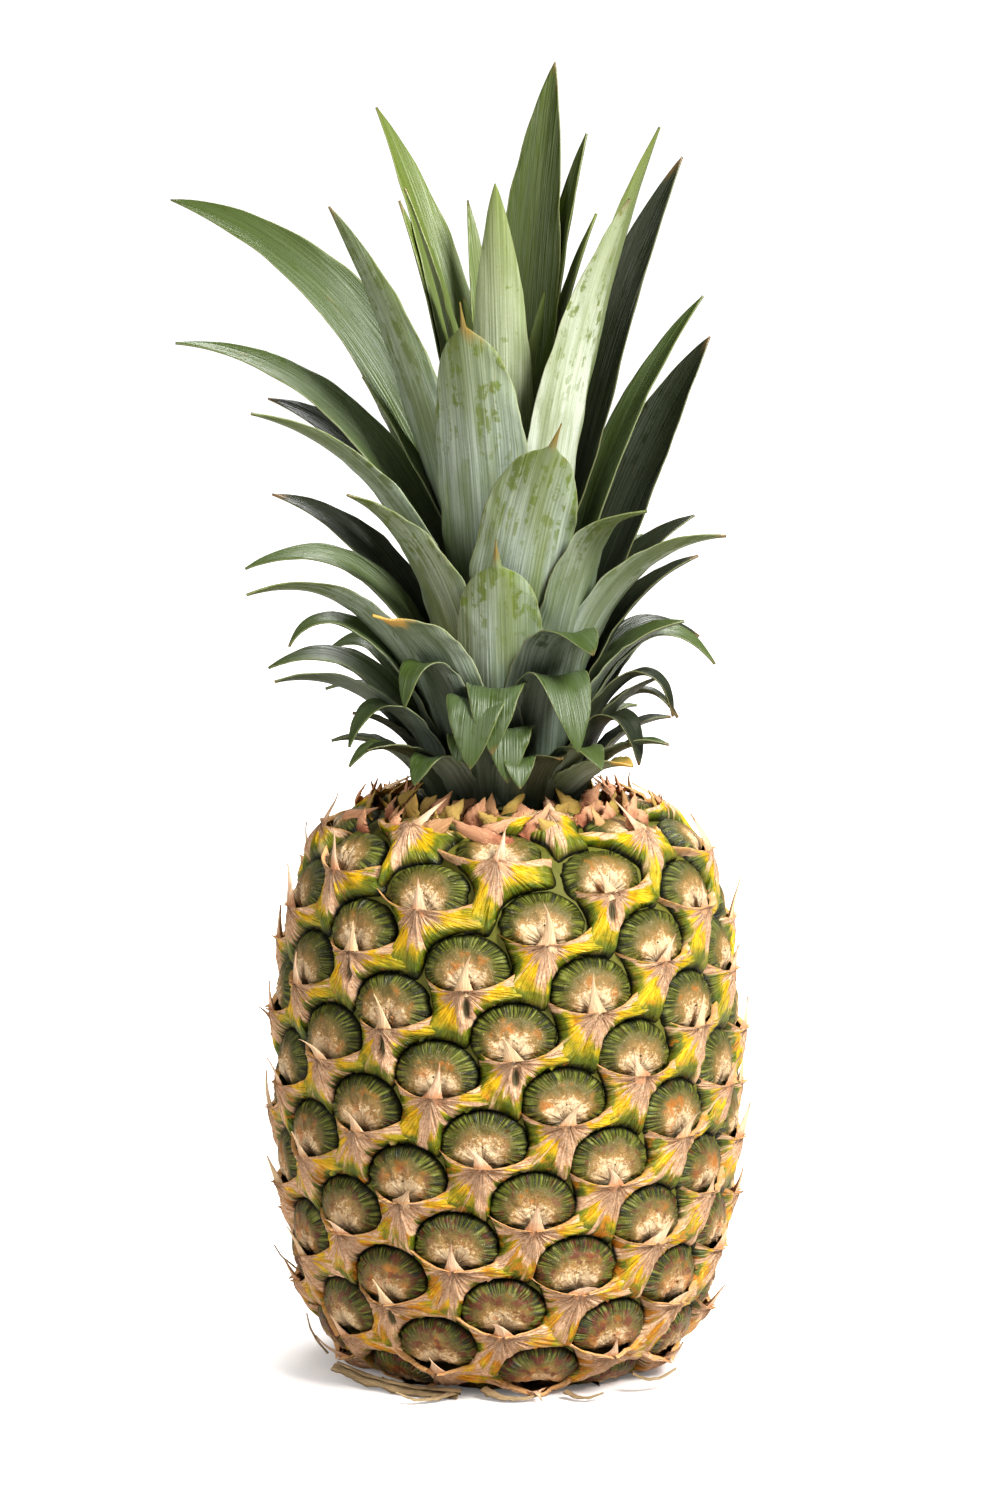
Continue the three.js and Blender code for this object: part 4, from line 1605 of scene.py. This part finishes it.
@dataclass
class Strip:
    """A thin dry strip of tissue along a route, curled across its width."""

    route: Array
    width: float
    curl: float = 0.5
    thickness: float = 0.3
    point: float = 1.0
    seed: float = 0.0
    facing: tuple[float, ...] = (0.0, 0.0, 1.0)
    least_half_width: float = 0.08
    rows: int = 22
    columns: int = 9

    def path(self) -> Array:
        """Follow the route smoothly.

        Returns:
            Points along the strip's middle.
        """
        knots = np.linspace(0, 1, len(self.route))
        places = np.linspace(0, 1, self.rows)
        path = np.stack([np.interp(places, knots, self.route[:, axis]) for axis in range(3)], axis=1)
        for _ in range(3):
            path[1:-1] = (path[:-2] + 2 * path[1:-1] + path[2:]) / 4
        return path

    def add_to(self, mould: Mould) -> None:
        """Add the strip to a mould.

        Args:
            mould: where it goes.
        """
        path = self.path()
        places = np.linspace(0, 1, self.rows)
        heading = unit(np.gradient(path, axis=0))
        across = unit(np.cross(heading, np.array(self.facing)))
        half = self.width / 2 * (1 - self.point * places**1.4) * (1 + 0.18 * wobble(places * 3, self.seed, 3))
        half = (half + self.least_half_width)[:, None]
        loop, side = both_faces(np.linspace(-1, 1, self.columns))
        along, share = grid(places, loop)
        aside = share * half * (1 - 0.3 * self.curl * share**2)
        rim = wobble(along * 5 + share, self.seed * 1.3, 3) * 0.12 * half
        deep = -self.curl * half * share**2 + side * self.thickness / 2 + rim
        vertices = sections(path, across, np.cross(across, heading), aside, deep)
        vertices[..., 2] = np.maximum(vertices[..., 2], FLOOR_CLEARANCE)
        length = float(np.linalg.norm(np.diff(path, axis=0), axis=1).sum())
        mould.add(
            vertices.reshape(-1, 3),
            grid_faces(self.rows, len(loop), closed=True),
            strip=marks_of(aside, along * length, self.seed * 3.1),
            strip_kind=marks_of(along, share, self.seed % 1.0),
        )


@dataclass
class Neck:
    """The small pink bracts packed between the shoulder of the fruit and the crown."""

    seed: int = 23
    count: int = 96
    lowest: float = 151.5
    climb: float = 5.8
    widest: float = 43.0
    narrowing: float = 20.0

    def route(self, azimuth: float, radius: float, height: float, random: np.random.Generator) -> Array:
        """Lay out one small bract.

        Args:
            azimuth: where it grows, in degrees.
            radius: how far from the axis it grows.
            height: how high it grows.
            random: where its length, flare and twist are drawn from.

        Returns:
            The corners of its route, foot first.
        """
        length = random.uniform(5, 11)
        flare = random.uniform(-5, 5)
        turn = random.normal(0, 10)
        return np.stack([
            polar(azimuth, radius + 3, height - 1.5),
            polar(azimuth + turn * 0.3, radius + 3, height + 0.22 * length),
            polar(azimuth + turn * 0.7, radius + 1 + 0.5 * flare, height + 0.45 * length),
            polar(azimuth + turn, radius - 1 + flare, height + 0.7 * length),
        ])

    def build(self, material: Material) -> None:
        """Make the neck's bracts as one piece.

        Args:
            material: their finish.
        """
        random = np.random.default_rng(self.seed)
        mould = Mould("neck_bracts")
        for number in range(self.count):
            azimuth = number * GOLDEN_ANGLE
            share = number / self.count
            radius = self.widest - self.narrowing * share**0.8 + random.normal(0, 1.8)
            route = self.route(azimuth, radius, self.lowest + self.climb * share**0.6, random)
            outward = tuple(polar(azimuth, 1.0, 0.0))
            width = random.uniform(4.5, 10)
            Strip(route, width, curl=0.45, seed=number * 0.73, facing=outward).add_to(mould)
        mould.cast(material, "fruit_skin")


@dataclass
class Foot:
    """The dry straw at the foot of the fruit: a strap, and scraps and threads of a width and a route each."""

    strap_route: tuple[Point, ...] = ((-13, -45.5, 1.8), (-25, -43, 2), (-37, -35.5, 2.8), (-47, -26, 4.6))
    layer_shift: Point = (0.6, -0.8, 0.9)
    scraps: tuple[tuple[float, tuple[Point, ...]], ...] = (
        (0.8, ((-49, -27, 8), (-52, -25, 11), (-54, -23, 14), (-55, -22, 18))),
        (0.6, ((-57, -22, 30), (-60, -20, 32), (-62, -18, 33), (-64, -17, 36))),
        (3.2, ((-14, -46, 2.2), (-20, -50, 1.2), (-25, -53, 1.6), (-30, -52, 3.4))),
        (4.6, ((-6, -45, 3), (-2, -49, 1.6), (4, -50, 1.2), (9, -48, 1.8))),
        (2.8, ((16, -46, 2.4), (19, -49, 1.4), (22, -50, 1.4), (26, -48, 2.2))),
        (2.6, ((34, -41, 6), (38, -40, 4), (42, -38, 4), (46, -36, 6))),
    )

    def build(self, material: Material) -> None:
        """Make the strap that stands for its node, and the loose scraps and threads.

        Args:
            material: their finish.
        """
        strap = Mould("straw_strap")
        route = np.array(self.strap_route, dtype=float)
        Strip(route, 5.6, curl=0.75, thickness=0.5, point=0.25, seed=2.0).add_to(strap)
        Strip(route + self.layer_shift, 3.0, point=0.6, seed=3.4).add_to(strap)
        strap.cast(material, "dry_straw", "dry_strap")
        scraps = Mould("straw_scraps")
        for number, (width, corners) in enumerate(self.scraps):
            route = np.array(corners, dtype=float)
            Strip(route, width, point=0.8, seed=5.0 + number * 1.7).add_to(scraps)
        scraps.cast(material, "dry_straw")


# ---- Studio ------------------------------------------------------------------------------------------------


@dataclass(frozen=True)
class Lamp:
    """A soft square lamp that faces the fruit; metres and watts."""

    name: str
    place: Point
    size: float
    power: float

    def light(self, aim: Point) -> None:
        """Hang the lamp.

        Args:
            aim: what it faces.
        """
        source = bpy.data.lights.new(self.name, "AREA")
        source.shape = "SQUARE"
        source.size = self.size
        source.energy = self.power
        lamp = stand(self.name, source)
        lamp.location = self.place
        lamp.rotation_euler = (Vector(aim) - Vector(self.place)).to_track_quat("-Z", "Y").to_euler()


@dataclass
class Studio:
    """A pale floor, soft lights and the camera; places are in metres."""

    camera_place: Point = (-0.0018, -1.5844, 0.3937)
    camera_drop: float = 8.0
    lens: float = 139.8
    sensor: float = 36.0
    farthest: float = 20.0
    floor_size: float = 6.0
    ambient: float = 0.2
    aim: Point = (0.0, 0.0, 0.18)
    lamps: tuple[Lamp, ...] = (
        Lamp("key_lamp", (0.85, -0.85, 1.15), 0.5, 38.0),
        Lamp("fill_lamp", (-1.1, -0.9, 0.8), 0.5, 7.0),
        Lamp("back_lamp", (0.1, 0.8, 1.3), 0.6, 14.0),
    )

    def lay_floor(self, finish: Material) -> None:
        """Make the floor.

        Args:
            finish: its material.
        """
        half = self.floor_size / 2
        mesh = bpy.data.meshes.new("floor")
        corners = [(-half, -half, 0), (half, -half, 0), (half, half, 0), (-half, half, 0)]
        mesh.from_pydata(corners, [], [(0, 1, 2, 3)])
        mesh.materials.append(finish)
        floor = stand("floor", mesh)

    def surround(self) -> None:
        """Make surroundings that look white and light the fruit only softly."""
        world = bpy.data.worlds.new("studio")
        world.use_nodes = True
        world.node_tree.nodes.clear()
        graph = Graph(world.node_tree)
        felt, seen = [graph.node("ShaderNodeBackground", WHITE, strength) for strength in (self.ambient, 1.0)]
        by_camera = graph.node("ShaderNodeLightPath").outputs["Is Camera Ray"]
        choice = graph.node("ShaderNodeMixShader", by_camera, felt.outputs[0], seen.outputs[0])
        graph.node("ShaderNodeOutputWorld", choice.outputs[0])
        bpy.context.scene.world = world

    def place_camera(self) -> None:
        """Stand the camera in front of the fruit, a little above it and looking down."""
        view = bpy.data.cameras.new("camera")
        view.lens = self.lens
        view.sensor_width = self.sensor
        view.clip_end = self.farthest
        camera = stand("camera", view)
        camera.location = self.camera_place
        camera.rotation_euler = (math.radians(90.0 - self.camera_drop), 0.0, 0.0)
        bpy.context.scene.camera = camera

    def build(self, floor_finish: Material) -> None:
        """Make the floor, the lights, the surroundings and the camera.

        Args:
            floor_finish: the floor's material.
        """
        self.lay_floor(floor_finish)
        self.surround()
        for lamp in self.lamps:
            lamp.light(self.aim)
        bpy.context.scene.view_settings.view_transform = "Standard"
        bpy.context.scene.view_settings.look = "Medium High Contrast"
        self.place_camera()


# ---- The finishes of single pieces -------------------------------------------------------------------------

SPIKE_PAPER = PaperFinish(
    "spike_paper", foot=linear(216, 162, 120), middle=linear(248, 214, 178), tip=linear(182, 134, 96),
    streak=linear(146, 94, 62), odd=linear(240, 214, 170),
)
NECK_PAPER = PaperFinish(
    "neck_paper", foot=linear(158, 96, 66), middle=linear(226, 172, 132), tip=linear(214, 168, 118),
    streak=linear(166, 104, 72), odd=linear(186, 168, 72),
)
DRY_STRAW = PaperFinish(
    "dry_straw", foot=linear(150, 126, 92), middle=linear(178, 154, 116), tip=linear(196, 172, 132),
    streak=linear(100, 80, 54), odd=linear(160, 136, 100),
)
RIND_GROUND = PlainFinish("rind_ground", linear(112, 110, 30), linear(66, 72, 16), 0.004, 0.7)
CUT_STALK = PlainFinish("cut_stalk", linear(186, 158, 112), linear(120, 92, 58), 0.002, 0.85)
CROWN_CORE = PlainFinish("crown_core", linear(206, 202, 150), linear(150, 160, 92), 0.004, 0.7)


def dress_node(frame: dict, node: str, material: Material) -> None:
    """Give a node that stays in view a better finish.

    Args:
        frame: the loaded frame.
        node: the node's name.
        material: its finish.
    """
    mesh = frame["nodes"][node].data
    mesh.materials.clear()
    mesh.materials.append(material)
    LOG.info("%s keeps its own shape", node)


def main() -> None:
    """Build the pineapple round its frame."""
    logging.basicConfig(level=logging.INFO, format="%(name)s: %(message)s")
    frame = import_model()
    effects = Effects()
    rind = Rind(Body())
    rind.build_ground(RIND_GROUND.make(effects))
    rind.build(EyeFinish().make(effects), BractFinish().make(effects), SPIKE_PAPER.make(effects))
    Crown().build({look: look.value.make(effects) for look in Look})
    Neck().build(NECK_PAPER.make(effects))
    Foot().build(DRY_STRAW.make(effects))
    dress_node(frame, "stalk_stub", CUT_STALK.make(effects))
    dress_node(frame, "crown_stem", CROWN_CORE.make(effects))
    Studio().build(FloorFinish().make(effects))


if __name__ == "__main__":
    main()
